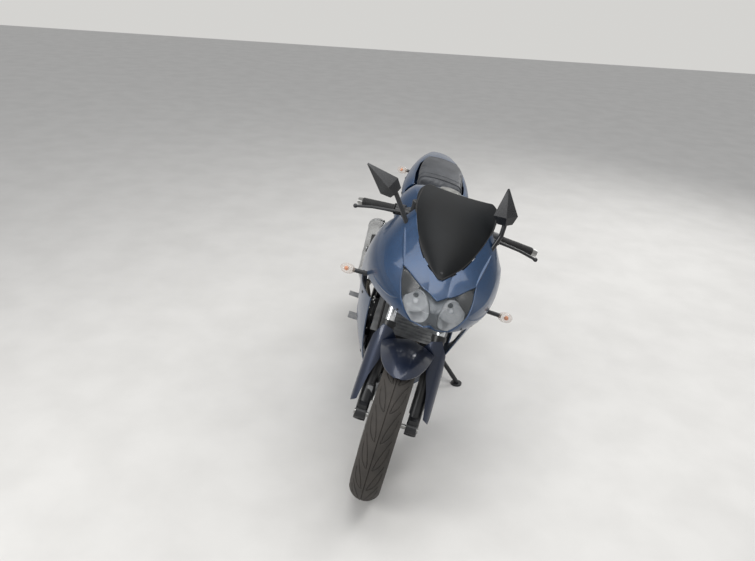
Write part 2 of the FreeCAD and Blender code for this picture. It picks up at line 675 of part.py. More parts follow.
def chain_outline(grow):
    """The loop round both sprockets at a radius larger by grow, as a closed wire at x = 0."""
    a, b = DRIVE, V(0, REAR_AXLE.y, REAR_AXLE.z)
    r_a, r_b = DRIVE_R + grow, SPROCKET_R + grow
    gap = b - a
    base = math.atan2(gap.z, gap.y)
    swing = math.acos((r_a - r_b) / gap.Length)

    def on(centre, radius, turn):
        return centre + V(0, math.cos(turn), math.sin(turn)) * radius

    top, low = base + swing, base - swing
    return Part.Wire([
        line(on(a, r_a, top), on(b, r_b, top)),
        arc(on(b, r_b, top), on(b, r_b, base), on(b, r_b, low)),
        line(on(b, r_b, low), on(a, r_a, low)),
        arc(on(a, r_a, low), on(a, r_a, base + math.pi), on(a, r_a, top)),
    ])


def chain():
    """Drive chain as one fixed loop: two rows of side plates and a roller row between them."""
    x_mid = SPROCKET_X + SPROCKET_THICK / 2

    def band(inner, outer, x0, x1):
        faces = [Part.Face(chain_outline(g)) for g in (outer, inner)]
        ring = faces[0].cut(faces[1]).extrude(V(x1 - x0, 0, 0))
        ring.translate(V(x0, 0, 0))
        return ring

    plates = [band(1.5, 1.5 + CHAIN_H, x_mid + s * CHAIN_HALF - 1.5, x_mid + s * CHAIN_HALF + 1.5)
              for s in (1, -1)]
    rollers = band(4.0, 11.0, x_mid - CHAIN_HALF, x_mid + CHAIN_HALF)
    return rollers.multiFuse(plates)


def chain_guard():
    outline = [(900, 498), (1150, 462), (1400, 452), (1480, 430), (1484, 436), (1402, 460),
               (1152, 471), (902, 507)]
    top = side_prism(outline, 22)
    top.translate(V(94, 0, 0))
    side = side_prism([(940, 455), (1160, 428), (1400, 418), (1400, 456), (1152, 467),
                       (940, 498)], 1.5)
    side.translate(V(114.5, 0, 0))
    foot = side_prism([(1010, 398.5), (1040, 392.8), (1044, 470), (1006, 474)], 1.5)
    foot.translate(V(114.5, 0, 0))
    return top.multiFuse([side, foot])


def rear_caliper():
    x_mid = REAR_DISC_X + REAR_DISC_THICK / 2
    body = block(x_mid - 26, x_mid + 20, 1288, 1356, 352, 412)
    slot = disc(REAR_AXLE, REAR_DISC_X - 3, REAR_DISC_X + REAR_DISC_THICK + 3, REAR_DISC_R + 5)
    bracket = block(-99 + SEAT_GAP, -90, 1296, 1330, 340, 380)
    arm_top = side_prism([(830, 300), (1460, 300), (1460, 334), (1250, 354), (870, 427)],
                         13 + SEAT_GAP)
    arm_top.translate(V(-112, 0, 0))
    return body.fuse(bracket).cut(slot).cut(arm_top)


def exhaust_pipes():
    """Two headers down from the head, joined under the engine, out to the right."""
    headers = [tube_run([V(s * 52, 412, 604), V(s * 52, 392, 560), V(s * 52, 386, 470),
                         V(s * 50, 392, 300), V(s * 36, 470, 208), V(-4, 640, 188)], 17)
               for s in (1, -1)]
    way = (MUFFLER_HIGH - MUFFLER_LOW).normalize()
    main = tube_run([V(-4, 640, 188), V(-56, 806, 200), V(-150, 905, 255), MUFFLER_LOW,
                     MUFFLER_LOW + way * 45], EXHAUST_R)
    return headers[0].multiFuse([headers[1], main]).cut(cylinder_block(SEAT_GAP))


EXHAUST_R = 21.0
MUFFLER_LOW = V(-196, 985, 330)
MUFFLER_HIGH = V(-212, 1452, 490)
MUFFLER_R = 52.0


def muffler():
    """Straight drum with a tapered nose and an end cap set in a ring."""
    way = (MUFFLER_HIGH - MUFFLER_LOW).normalize()
    nose = cone(MUFFLER_LOW + way * 22, MUFFLER_LOW + way * 92, 26, MUFFLER_R)
    drum = rod(MUFFLER_LOW + way * 92, MUFFLER_HIGH - way * 26, MUFFLER_R)
    ring = rod(MUFFLER_HIGH - way * 30, MUFFLER_HIGH - way * 18, MUFFLER_R + 2)
    cap = cone(MUFFLER_HIGH - way * 20, MUFFLER_HIGH, MUFFLER_R, MUFFLER_R - 14)
    hole = rod(MUFFLER_HIGH - way * 40, MUFFLER_HIGH + way * 5, 17)
    socket = rod(MUFFLER_LOW, MUFFLER_LOW + way * 60, EXHAUST_R + SEAT_GAP)
    hanger = tube_run([V(-190, 1052, 385), V(-180, 1048, 430), V(-176, 1045, 462)], 8)
    lug = rod(V(-PEG_X, 1045, 462), V(-PEG_X - 22, 1045, 462), 10)
    return nose.multiFuse([drum, ring, cap, hanger, lug]).cut(hole).cut(socket)


def heat_shield():
    """Pressed cover over the top outer side of the drum."""
    way = (MUFFLER_HIGH - MUFFLER_LOW).normalize()
    a, b = MUFFLER_LOW + way * 110, MUFFLER_LOW + way * 330
    shell = rod(a, b, MUFFLER_R + 6).cut(rod(a - way, b + way, MUFFLER_R + 3))
    feet = [rod(a + way * t, a + way * (t + 14), MUFFLER_R + 4) for t in (30, 176)]
    feet = feet[0].fuse(feet[1]).cut(rod(a, b, MUFFLER_R + SEAT_GAP))
    keep = block(-400, MUFFLER_LOW.x + 14, 900, 1600, MUFFLER_LOW.z + 50, 700)
    keep.rotate(MUFFLER_LOW, LEFT, 19)
    return shell.common(keep).fuse(feet.common(keep))


# Bodywork

# Upper cowl sections from nose to shoulder. Columns: y, then x and z of the lower edge, the
# widest point, the shoulder, the upper side and the top edge, then the height of the crown.
COWL = (
    (-112, 14, 770, 23, 782, 25, 800, 20, 816, 8, 827, 829),
    (-70, 50, 742, 88, 768, 92, 804, 66, 832, 20, 841, 843),
    (0, 92, 722, 146, 768, 146, 822, 104, 850, 34, 859, 862),
    (85, 126, 692, 192, 768, 188, 838, 132, 874, 46, 896, 905),
    (170, 164, 645, 228, 800, 208, 890, 166, 944, 116, 973, 985),
    (240, 192, 628, 245, 812, 226, 900, 184, 968, 142, 1034, 1050),
    (330, 226, 614, 252, 810, 234, 886, 192, 950, 148, 1000, 1020),
    (450, 238, 606, 248, 780, 228, 838, 186, 890, 140, 930, 945),
    (575, 218, 600, 230, 730, 210, 785, 170, 820, 130, 845, 855),
)


def inset(points, wall):
    """The open outline moved inwards by a wall, each point along its own normal."""
    moved = []
    for i, (x, z) in enumerate(points):
        x0, z0 = points[max(i - 1, 0)]
        x1, z1 = points[min(i + 1, len(points) - 1)]
        run = math.hypot(x1 - x0, z1 - z0)
        moved.append((x - (z1 - z0) / run * wall, z + (x1 - x0) / run * wall))
    return moved


def cowl_body(wall):
    """Solid bounded by the cowl's skin, moved inwards by wall."""
    wires = []
    for i, row in enumerate(COWL):
        y = row[0]
        points = [(row[k], row[k + 1]) for k in range(1, 11, 2)]
        crown = row[11] - wall
        if wall:
            points = inset(points, wall)
            points[-1] = (points[-1][0], row[10] - wall)
            points[0] = (points[0][0], row[2] - 30)
            y += wall + 2 if i == 0 else (wall if i == len(COWL) - 1 else 0)
        right = [V(x, y, z) for x, z in points]
        left = [V(-p.x, p.y, p.z) for p in right]
        wires.append(Part.Wire([
            line(left[0], right[0]), arc(right[0], right[1], right[2]),
            arc(right[2], right[3], right[4]), arc(right[4], V(0, y, crown), left[4]),
            arc(left[4], left[3], left[2]), arc(left[2], left[1], left[0])]))
    return loft(wires)


LENS = ((0, 845), (131, 873), (127, 846), (112, 812), (90, 786), (47, 752), (0, 779))


def lens_prism(grow, y0, y1):
    """The headlamp opening seen from the front, grown by a margin, cut from front to back."""
    half = []
    middle_x, middle_z = 66.0, 812.0
    for x, z in LENS:
        far = math.hypot(x - middle_x, z - middle_z)
        sx = 0 if x == 0 else (x - middle_x) / far * grow
        half.append((x + sx, z + (z - middle_z) / far * grow))
    outline = half + [(-x, z) for x, z in reversed(half[1:-1])]
    return prism([V(x, y0, z) for x, z in outline], V(0, y1 - y0, 0))


def upper_cowl(skin, inner):
    """Nose and shoulders as one shell, open for the lamps, the screen, the fork and the bars."""
    shell = skin.cut(inner)
    shell = shell.cut(lens_prism(0, -200, 110))
    screen = Part.Face(Part.Wire([
        arc(V(9, 44, 850), V(88, 128, 850), V(145, 234, 850)),
        line(V(145, 234, 850), V(160, 330, 850)), line(V(160, 330, 850), V(160, 700, 850)),
        line(V(160, 700, 850), V(-160, 700, 850)), line(V(-160, 700, 850), V(-160, 330, 850)),
        line(V(-160, 330, 850), V(-145, 234, 850)),
        arc(V(-145, 234, 850), V(-88, 128, 850), V(-9, 44, 850)),
        line(V(-9, 44, 850), V(9, 44, 850))])).extrude(V(0, 0, 400))
    above = side_prism([(222, 1200), (234, 1030), (240, 976), (300, 966), (324, 942), (450, 868), (570, 790),
                        (700, 760), (700, 1200)], 400)
    below = side_prism([(-200, 700), (-60, 741), (60, 706), (170, 652), (240, 640), (700, 640),
                        (700, 400), (-200, 400)], 400)
    rear = side_prism([(700, 900), (530, 900), (552, 740), (520, 600), (700, 600)], 400)
    shell = shell.cut(screen).cut(above).cut(below).cut(rear)
    ahead = screen_sections(-60, SCREEN_WALL * 1.4 + SEAT_GAP)
    pads = [Part.makeSphere(15, V(s * x, y, z)) for s in (1, -1)
            for x, y, z in ((114, 166, 958), (62, 98, 900))]
    pads = Part.makeCompound(pads).common(skin).cut(ahead)
    return shell.cut(ahead).fuse(pads)


# Screen sections from its tip to its top edge. Columns: z, half width, y at the middle, y at
# the edge.
SCREEN = ((876, 8, 50, 51), (915, 70, 88, 112), (970, 113, 140, 172), (1030, 141, 196, 228),
          (1080, 150, 240, 274), (1112, 118, 274, 294))
SCREEN_WALL = 3.0


def screen_sections(front, back):
    """Solid between two copies of the screen's face, moved back along Y by front and back."""
    wires = []
    for z, half, y_mid, y_edge in SCREEN:
        a, b, c = (V(x, y + front, z) for x, y in ((-half, y_edge), (0, y_mid), (half, y_edge)))
        rear = V(0, back - front, 0)
        wires.append(Part.Wire([arc(a, b, c), line(c, c + rear),
                                arc(c + rear, b + rear, a + rear), line(a + rear, a)]))
    return loft(wires)


def windscreen():
    return screen_sections(0, SCREEN_WALL * 1.4)


def headlamp_lens(skin, inner):
    return skin.cut(inner).common(lens_prism(-0.8, -200, 100))


def headlamp_housing():
    """Black case behind the lens, with two round bowls open to the front."""
    body = cowl_body(PANEL + 8).common(lens_prism(6, -200, 96))
    bowls = []
    for side in (1, -1):
        centre = V(side * 62, -10, 806)
        bowls.append(Part.makeSphere(45, centre))
        bowls.append(cone(centre, centre - V(0, 130, 0), 42, 52))
    return body.cut(Part.makeCompound([b for b in bowls]))


def headlamp_bowls():
    """Bright reflectors sitting in the case, each with its bulb cap."""
    both = []
    for side in (1, -1):
        centre = V(side * 62, -10, 806)
        shell = Part.makeSphere(45 - SEAT_GAP, centre).cut(Part.makeSphere(42, centre))
        shell = shell.cut(block(side * 62 - 60, side * 62 + 60, -200, -22, 700, 900))
        cap = rod(centre + V(0, 43, 0), centre + V(0, 4, 0), 9)
        both.append(shell.fuse(cap))
    return Part.makeCompound(both)


# Side cowl strips from the belly up. Columns: z, then x and y of the front edge, the bulge and
# the rear edge.
SIDE = (
    (216, 98, 405, 134, 560, 120, 800),
    (300, 138, 372, 174, 540, 170, 815),
    (400, 164, 340, 205, 500, 198, 770),
    (500, 180, 304, 224, 450, 212, 670),
    (580, 189, 266, 235, 400, 222, 590),
    (636, 194, 240, 243, 385, 226, 556),
)


def bottom_edge(y):
    """Half width of the side panels along their bottom edge, on the arc through its points."""
    z, x1, y1, x2, y2, x3, y3 = SIDE[0]
    curve = arc(V(x1, y1, 0), V(x2, y2, 0), V(x3, y3, 0)).Curve
    centre, radius = curve.Center, curve.Radius
    return centre.x + math.sqrt(radius ** 2 - (y - centre.y) ** 2)


def strip_shell(rows):
    """Thin curved panel through rows of z and three points each."""
    wires = []
    for z, x1, y1, x2, y2, x3, y3 in rows:
        a, b, c = V(x1, y1, z), V(x2, y2, z), V(x3, y3, z)
        back = V(-PANEL, 0, 0)
        wires.append(Part.Wire([arc(a, b, c), line(c, c + back),
                                arc(c + back, b + back, a + back), line(a + back, a)]))
    return loft(wires)


def side_cowl():
    """Left side panel: a thin curved shell with a vent, and a boss that meets the frame."""
    panel = strip_shell(SIDE)
    vent = side_prism([(452, 520), (560, 500), (600, 430), (520, 400), (470, 450)], 400)
    boss = rod(V(156 + FRAME_R - 3 + SEAT_GAP, 560, 610), V(224.5, 560, 610), 8)
    return panel.cut(vent).fuse(boss)


# Cover under the tank and the seat. Columns as for the side panels.
COVER = (
    (640, 184, 628, 183, 720, 172, 806),
    (700, 182, 604, 177, 730, 136, 884),
    (745, 168, 596, 160, 725, 114, 906),
)


def frame_cover():
    """Left cover between the fairing, the tank and the seat, on a boss that meets the frame."""
    boss = rod(V(150 + FRAME_R * ELBOW_SWELL + SEAT_GAP, 650, 690), V(180, 650, 690), 8)
    return strip_shell(COVER).fuse(boss)


# Belly sections from front to back. Columns: y, z of the underside.
BELLY = ((412, 196), (500, 160), (640, 146), (800, 150))


def lower_cowl():
    """Belly pan that closes the gap between the side panels."""
    wires = []
    top = SIDE[0][0] - SEAT_GAP
    for y, low in BELLY:
        half = bottom_edge(y)
        a, b, c = V(-half, y, top), V(0, y, low), V(half, y, top)
        rise = V(0, 0, PANEL)
        inner_a, inner_c = V(PANEL - half, y, top), V(half - PANEL, y, top)
        wires.append(Part.Wire([arc(a, b, c), line(c, inner_c),
                                arc(inner_c, b + rise, inner_a), line(inner_a, a)]))
    return loft(wires)


def oval_body(rows):
    """Smooth body through rows of y, half widths and heights of its floor, waist and top."""
    wires = []
    for y, wb, zb, wm, zm, ws, zs, crown in rows:
        right = [V(wb, y, zb), V(wm, y, zm), V(ws, y, zs)]
        left = [V(-p.x, p.y, p.z) for p in right]
        wires.append(Part.Wire([line(left[0], right[0]), arc(*right),
                                arc(right[2], V(0, y, crown), left[2]),
                                arc(left[2], left[1], left[0])]))
    return loft(wires)


# Columns as oval_body reads them.
TANK = (
    (470, 56, 838, 78, 884, 56, 928, 940),
    (540, 84, 794, 110, 884, 88, 962, 982),
    (620, 130, 748, 178, 890, 140, 982, 1004),
    (700, 136, 748, 188, 885, 138, 980, 1001),
    (780, 112, 750, 150, 850, 108, 948, 968),
    (864, 74, 752, 100, 795, 70, 850, 862),
)
CAP_Y = 640.0
CAP_R = 44.0
CAP_TOP = 1008.0
CAP_HINGE = V(0, CAP_Y - CAP_R - 1, CAP_TOP + 5)


def fuel_tank():
    """Tank with broad shoulders and a flat filler ring on top."""
    ring = Part.makeCylinder(CAP_R + 8, 40, V(0, CAP_Y, CAP_TOP - 40))
    return oval_body(TANK).fuse(ring)


def fuel_cap():
    lid = Part.makeCylinder(CAP_R, 7, V(0, CAP_Y, CAP_TOP + SEAT_GAP))
    top = Part.makeCylinder(CAP_R - 12, 3, V(0, CAP_Y, CAP_TOP + SEAT_GAP + 6))
    knuckle = rod(CAP_HINGE - LEFT * 12, CAP_HINGE + LEFT * 12, 4)
    return fuse(lid, top, knuckle)


RIDER_SEAT = (
    (872, 66, 748, 92, 782, 62, 818, 824),
    (950, 100, 747, 130, 770, 92, 792, 796),
    (1040, 122, 753, 150, 776, 112, 800, 802),
    (1096, 118, 764, 140, 800, 104, 836, 840),
)
PILLION_SEAT = (
    (1100, 94, 842, 112, 874, 88, 903, 909),
    (1200, 102, 868, 120, 902, 92, 932, 938),
    (1330, 92, 892, 108, 922, 80, 949, 955),
    (1440, 60, 906, 72, 925, 50, 940, 945),
)
TAIL = (
    (925, 98, 690, 124, 714, 112, 738, 741),
    (985, 96, 702, 128, 735, 118, 772, 776),
    (1100, 122, 728, 160, 790, 130, 862, 866),
    (1230, 126, 766, 166, 832, 134, 892, 897),
    (1380, 100, 812, 140, 872, 104, 918, 924),
    (1530, 70, 852, 100, 892, 66, 927, 933),
    (1640, 42, 880, 60, 901, 40, 921, 925),
)


def rider_seat():
    feet = [Part.makeCylinder(12, 30, V(s * 50, 1000, 730 + RAIL_R + SEAT_GAP)) for s in (1, -1)]
    return oval_body(RIDER_SEAT).multiFuse(feet)


def pillion_seat():
    feet = [Part.makeCylinder(10, 90, V(s * 50, 1240, 788 + RAIL_R + SEAT_GAP)) for s in (1, -1)]
    return oval_body(PILLION_SEAT).multiFuse(feet)


def tail_cowl():
    """Tail shell open on top for the seats, the rear end closed."""
    skin = oval_body(TAIL)
    rows = []
    for i, (y, wb, zb, wm, zm, ws, zs, crown) in enumerate(TAIL):
        y += (-PANEL if i == 0 else (-PANEL if i == len(TAIL) - 1 else 0))
        rows.append((y, wb - PANEL, zb + PANEL, wm - PANEL, zm, ws - PANEL, zs - PANEL,
                     crown - PANEL))
    inner = oval_body(rows)
    shell = skin.cut(inner)
    open_top = prism([V(-140, 905, 722), V(-154, 1098, 722), V(-124, 1104, 722),
                      V(-126, 1210, 722), V(-112, 1340, 722), V(-76, 1446, 722),
                      V(76, 1446, 722), V(112, 1340, 722), V(126, 1210, 722),
                      V(124, 1104, 722), V(154, 1098, 722), V(140, 905, 722)],
                     V(0, 0, 300))
    keep_floor = side_prism([(900, 600), (900, 716), (960, 716), (1100, 742), (1230, 780), (1380, 828),
                             (1460, 850), (1460, 600)], 400)
    return shell.cut(open_top.cut(keep_floor)).cut(rear_struts(STRUT_CLEAR))


def tail_lamp():
    wires = []
    for y, half, low, high in ((1640.4, 44, 884, 918), (1668, 34, 888, 914), (1684, 18, 894, 908)):
        wires.append(Part.makePolygon([V(-half, y, low), V(half, y, low), V(half, y, high),
                                       V(-half, y, high), V(-half, y, low)]))
    return Part.makeLoft(wires, True, True)


def rear_mudguard():
    """Bent strip over the rear tyre that turns down to carry a plate."""
    way = [(1066, 520), (1110, 612), (1200, 676), (1330, 716), (1480, 760), (1640, 792),
           (PLATE_TOP.y, PLATE_TOP.z)]
    wall = 4.0
    outer, inner = [], []
    for i, (y, z) in enumerate(way):
        y0, z0 = way[max(i - 1, 0)]
        y1, z1 = way[min(i + 1, len(way) - 1)]
        run = math.hypot(y1 - y0, z1 - z0)
        inner.append((y + (z1 - z0) / run * wall, z - (y1 - y0) / run * wall))
        outer.append((y, z))
    band = side_prism(outer + list(reversed(inner)), 74)
    posts = [rod(V(s * 55, 1480, 756), V(s * 55, 1480, 836.6), 9) for s in (1, -1)]
    return band.multiFuse(posts)


PLATE_TOP = V(0, 1700, 760)        # the plate holder hangs from here
PLATE_LOW = V(0, 1776, 606)
PLATE_HALF = 86.0
PLATE_WALL = 5.0
PLATE_HOLE_X = 70.0
PLATE_HOLE_R = 3.5


def plate_bracket():
    """Flat holder for a plate, with two screw holes, hung behind the rear mudguard."""
    way = (PLATE_LOW - PLATE_TOP).normalize()
    out = LEFT.cross(way)
    top = PLATE_TOP + out * SEAT_GAP
    outline = [top - LEFT * 60 - way * 6, top + LEFT * 60 - way * 6,
               top + LEFT * PLATE_HALF + way * 40, top + LEFT * PLATE_HALF + way * 150,
               top + LEFT * 50 + way * 172, top - LEFT * 50 + way * 172,
               top - LEFT * PLATE_HALF + way * 150, top - LEFT * PLATE_HALF + way * 40]
    plate = prism(outline, out * PLATE_WALL)
    holes = []
    for side in (1, -1):
        pos, axis, radius, length = plate_hole(side)
        holes.append(rod(pos - axis * length, pos + axis * length, radius))
    return plate.cut(Part.makeCompound(holes))


def plate_hole(side):
    """Middle, axis, radius and length of the screw hole on one side."""
    way = (PLATE_LOW - PLATE_TOP).normalize()
    out = LEFT.cross(way)
    pos = PLATE_TOP + out * (SEAT_GAP + PLATE_WALL / 2) + way * 62 + LEFT * (side * PLATE_HOLE_X)
    return pos, out, PLATE_HOLE_R, PLATE_WALL


# Turn signals on the left. Columns: root of the stalk, end of the stalk, middle of the lamp.
SIGNALS = (
    (V(216, 226, 736), V(290, 228, 733), V(308, 228, 732)),
    (V(74 + SEAT_GAP, 1630, 784), V(158, 1622, 776), V(176, 1620, 774)),
)
STALK_R = 8.0


def signal_stalks(skin):
    """Rubber stalks on the cowl and on the rear mudguard."""
    stalks = [rod(root, end, STALK_R) for root, end, lamp in SIGNALS]
    stalks[0] = stalks[0].cut(skin)
    return Part.makeCompound([s for stalk in stalks for s in (stalk, mirrored(stalk))])


def signal_lenses():
    """Oval lamps on the ends of the stalks."""
    made = []
    for root, end, lamp in SIGNALS:
        ball = Part.makeSphere(25, V(0, 0, 0))
        squash = FreeCAD.Matrix()
        squash.scale(1.15, 0.85, 0.78)
        ball = ball.transformGeometry(squash)
        ball.translate(lamp)
        made.append(ball.cut(rod(root, end + LEFT * SEAT_GAP, STALK_R + SEAT_GAP)))
    return Part.makeCompound([s for ball in made for s in (ball, mirrored(ball))])


def panel_case(below):
    """Case of the instruments, its floor moved down by a gap."""
    return side_prism([(148, 884 - below), (196, 872 - below), (214, 940), (164, 952)], 100)


def instrument_panel():
    """Binnacle behind the screen with round dials facing the rider."""
    shell = panel_case(0)
    dials = []
    for x, radius in ((0, 36), (-66, 26), (66, 26)):
        low = V(x, 203, 906)
        dials.append(rod(low, low + V(0, 9, -2.4), radius))
    return shell.multiFuse(dials)


def fairing_stay():
    """Tube bracket from the steering head that carries the panel, the lamps and the cowl."""
    low, high = head_tube()
    root = fork_point(0, HEAD_R - 3, (low + high) / 2)
    stem = tube_run([root, V(0, 236, 818), V(0, 170, 862), V(0, 160, 876)], 10)
    arms = [tube_run([V(0, 170, 862), V(s * 100, 176, 868), V(s * 260, 200, 880)], 8)
            for s in (1, -1)]
    lamp = rod(V(0, 96 + SEAT_GAP, 830), V(0, 170, 862), 9)
    lamp = lamp.cut(block(-20, 20, 60, 96 + SEAT_GAP, 800, 860))
    stay = stem.multiFuse(arms + [lamp]).common(cowl_body(PANEL + SEAT_GAP))
    head = rod(fork_point(0, 0, low), fork_point(0, 0, high), HEAD_R + SEAT_GAP)
    return stay.cut(head).cut(panel_case(SEAT_GAP))


MIRROR_BASE = V(163, 204, 982)


# Mirror shells as kites. Columns: share of the length, half height, depth ahead and behind.
KITE = ((0.0, 26, 16, 3), (0.24, 42, 26, 5), (1.0, 3, 3, 1))


def mirrors(skin):
    """Both mirrors are swung up: the right one leans out, the left one stands nearly upright."""
    made = []
    for side, knee, root, tip in (
            (-1, V(-196, 214, 1026), V(-228, 226, 1064), V(-352, 232, 1132)),
            (1, V(172, 212, 1034), V(170, 218, 1078), V(136, 222, 1202))):
        base = V(side * MIRROR_BASE.x, MIRROR_BASE.y, MIRROR_BASE.z)
        stay = tube_run([base + V(-side * 6, 2, -8), knee, root], 8.5)
        way = tip - root
        across = V(way.x, 0, way.z).normalize().cross(V(0, 1, 0))
        wires = []
        for share, half, front, back in KITE:
            mid = root + way * share
            corners = [mid + across * half, mid - V(0, front, 0), mid - across * half,
                       mid + V(0, back, 0)]
            wires.append(Part.makePolygon(corners + corners[:1]))
        shell = Part.makeLoft(wires, True, True)
        made.append(shell.fuse(stay).cut(skin))
    return Part.makeCompound(made)


def peg_brackets():
    """Cast hangers behind the engine that carry both pairs of pegs."""
    outline = [(822, 300), (880, 296), (905, 360), (1010, 430), (1095, 462), (1100, 490),
               (1060, 492), (960, 452), (886, 440), (826, 430)]
    plate = side_prism(outline, 6)
    plate.translate(V(BRACKET_X, 0, 0))
    hole = side_prism([(900, 388), (985, 440), (905, 424)], 20)
    hole.translate(V(BRACKET_X, 0, 0))
    plate = plate.cut(hole)
    bolt = rod(V(0, PIVOT.y, PIVOT.z), V(200, PIVOT.y, PIVOT.z), 10 + AXLE_CLEAR)
    return pair(plate.cut(bolt))


def foot_pegs():
    rider = rod(V(PEG_X, 862, 324), V(262, 862, 328), 13)
    flat = block(180, 262, 848, 876, 332, 346)
    rear = rod(V(PEG_X, 1078, 476), V(248, 1078, 480), 11)
    rider = rider.cut(flat)
    return Part.makeCompound([rider, mirrored(rider), rear, mirrored(rear)])


def foot_levers():
    """Gear lever on the left, brake pedal on the right."""
    gear = tube_run([V(184, 836, 308), V(195, 770, 294), V(198, 700, 312)], 6)
    toe = rod(V(192, 700, 312), V(240, 700, 314), 9)
    knuckle = rod(V(PEG_X, 836, 308), V(190, 836, 308), 9)
    gear = gear.multiFuse([toe, knuckle])
    pedal = tube_run([V(-186, 836, 308), V(-191, 768, 294), V(-206, 690, 305)], 6)
    pad = block(-240, -192, 676, 706, 295, 314)
    knuckle = rod(V(-PEG_X, 836, 308), V(-192, 836, 308), 9)
    return Part.makeCompound([gear, pedal.multiFuse([pad, knuckle])])


# Side stand

STAND_PIVOT = V(140, 826, 258)
STAND_FOOT = (372.0, 742.0)        # where the foot rests on the ground, in the leaned frame
STAND_R = 10.5
STAND_LUG_HALF = 7.0
STAND_BOLT_R = 6.0
STAND_FOLD = V(0.12, 0.99, 0.06)   # the way the leg points when it is folded back


def lowest(centre, axis, ring_r, tube_r):
    """Height of a round-crowned tyre's lowest point."""
    return centre.z - ring_r * math.sqrt(max(0.0, 1 - axis.z ** 2)) - tube_r


def crown(tyre_r, half, shoulder_r):
    drop = tyre_r - shoulder_r
    return (half ** 2 + drop ** 2) / (2 * drop)


def parked():
    """The placement that leans the upright bike until both tyres touch Z = 0."""
    lean = FreeCAD.Rotation(V(0, 1, 0), LEAN_DEG)
    steer = FreeCAD.Rotation(UP, STEER_DEG)
    centre_f = steer.multVec(FRONT_HUB) + STEER_FOOT
    axis_f = steer.multVec(LEFT)
    tube_f = crown(FRONT_TYRE_R, FRONT_TYRE_HALF, FRONT_SHOULDER_R)
    tube_r = crown(REAR_TYRE_R, REAR_TYRE_HALF, REAR_SHOULDER_R)
    pitch = 0.0
    for _ in range(20):
        tip = FreeCAD.Rotation(LEFT, math.degrees(pitch)).multiply(lean)
        low_f = lowest(tip.multVec(centre_f), tip.multVec(axis_f), FRONT_TYRE_R - tube_f, tube_f)
        low_r = lowest(tip.multVec(REAR_AXLE), tip.multVec(LEFT), REAR_TYRE_R - tube_r, tube_r)
        pitch -= (low_r - low_f) / WHEELBASE
    tip = FreeCAD.Rotation(LEFT, math.degrees(pitch)).multiply(lean)
    return FreeCAD.Placement(V(0, 0, -low_f), tip)


def stand_lines(place):
    """Foot point, leg direction and pivot axis in the upright frame."""
    foot = place.inverse().multVec(V(STAND_FOOT[0], STAND_FOOT[1], 0))
    down = (foot - STAND_PIVOT).normalize()
    axis = down.cross(STAND_FOLD).normalize()
    return foot, down, axis


def side_stand(place):
    """Leg from the pivot to a foot plate that lies flat on the ground."""
    foot, down, axis = stand_lines(place)
    up = place.inverse().Rotation.multVec(V(0, 0, 1))
    heel = foot + up * 12
    leg = rod(STAND_PIVOT, heel, STAND_R)
    plate = Part.makeCylinder(26, 7, foot, up)
    ball = Part.makeSphere(STAND_R + 1, heel)
    reach = axis * STAND_LUG_HALF
    lug = rod(STAND_PIVOT - reach, STAND_PIVOT + reach, 17)
    slim = rod(STAND_PIVOT + reach, STAND_PIVOT + reach * 6, 34)
    other = rod(STAND_PIVOT - reach, STAND_PIVOT - reach * 6, 34)
    hole = rod(STAND_PIVOT - reach * 2, STAND_PIVOT + reach * 2, STAND_BOLT_R + 0.05)
    return leg.cut(slim).cut(other).multiFuse([plate, ball, lug]).cut(hole)


def stand_mount(place):
    """Two ears and a bolt under the left pivot plate, and the strut that carries them."""
    foot, down, axis = stand_lines(place)
    near, far = axis * (STAND_LUG_HALF + SEAT_GAP), axis * (STAND_LUG_HALF + 7)
    root = V(PLATE_X - 5, 846, 300)
    ears = []
    for side in (1, -1):
        ears.append(rod(STAND_PIVOT + near * side, STAND_PIVOT + far * side, 16))
        ears.append(rod(STAND_PIVOT + (near + far) * (side * 0.5), root, 9))
    slot = rod(STAND_PIVOT - near, STAND_PIVOT + near, 42)
    bolt = rod(STAND_PIVOT - far * 1.3, STAND_PIVOT + far * 1.3, STAND_BOLT_R)
    return ears[0].multiFuse(ears[1:]).cut(slot).fuse(bolt)


def stand_notch(place):
    """Round notch that the left panel has round the stand's pivot."""
    foot, down, axis = stand_lines(place)
    return rod(STAND_PIVOT - axis * 60, STAND_PIVOT + axis * 60, 30)


def leaned(shape, place):
    made = shape.copy()
    made.Placement = place.multiply(made.Placement)
    return made


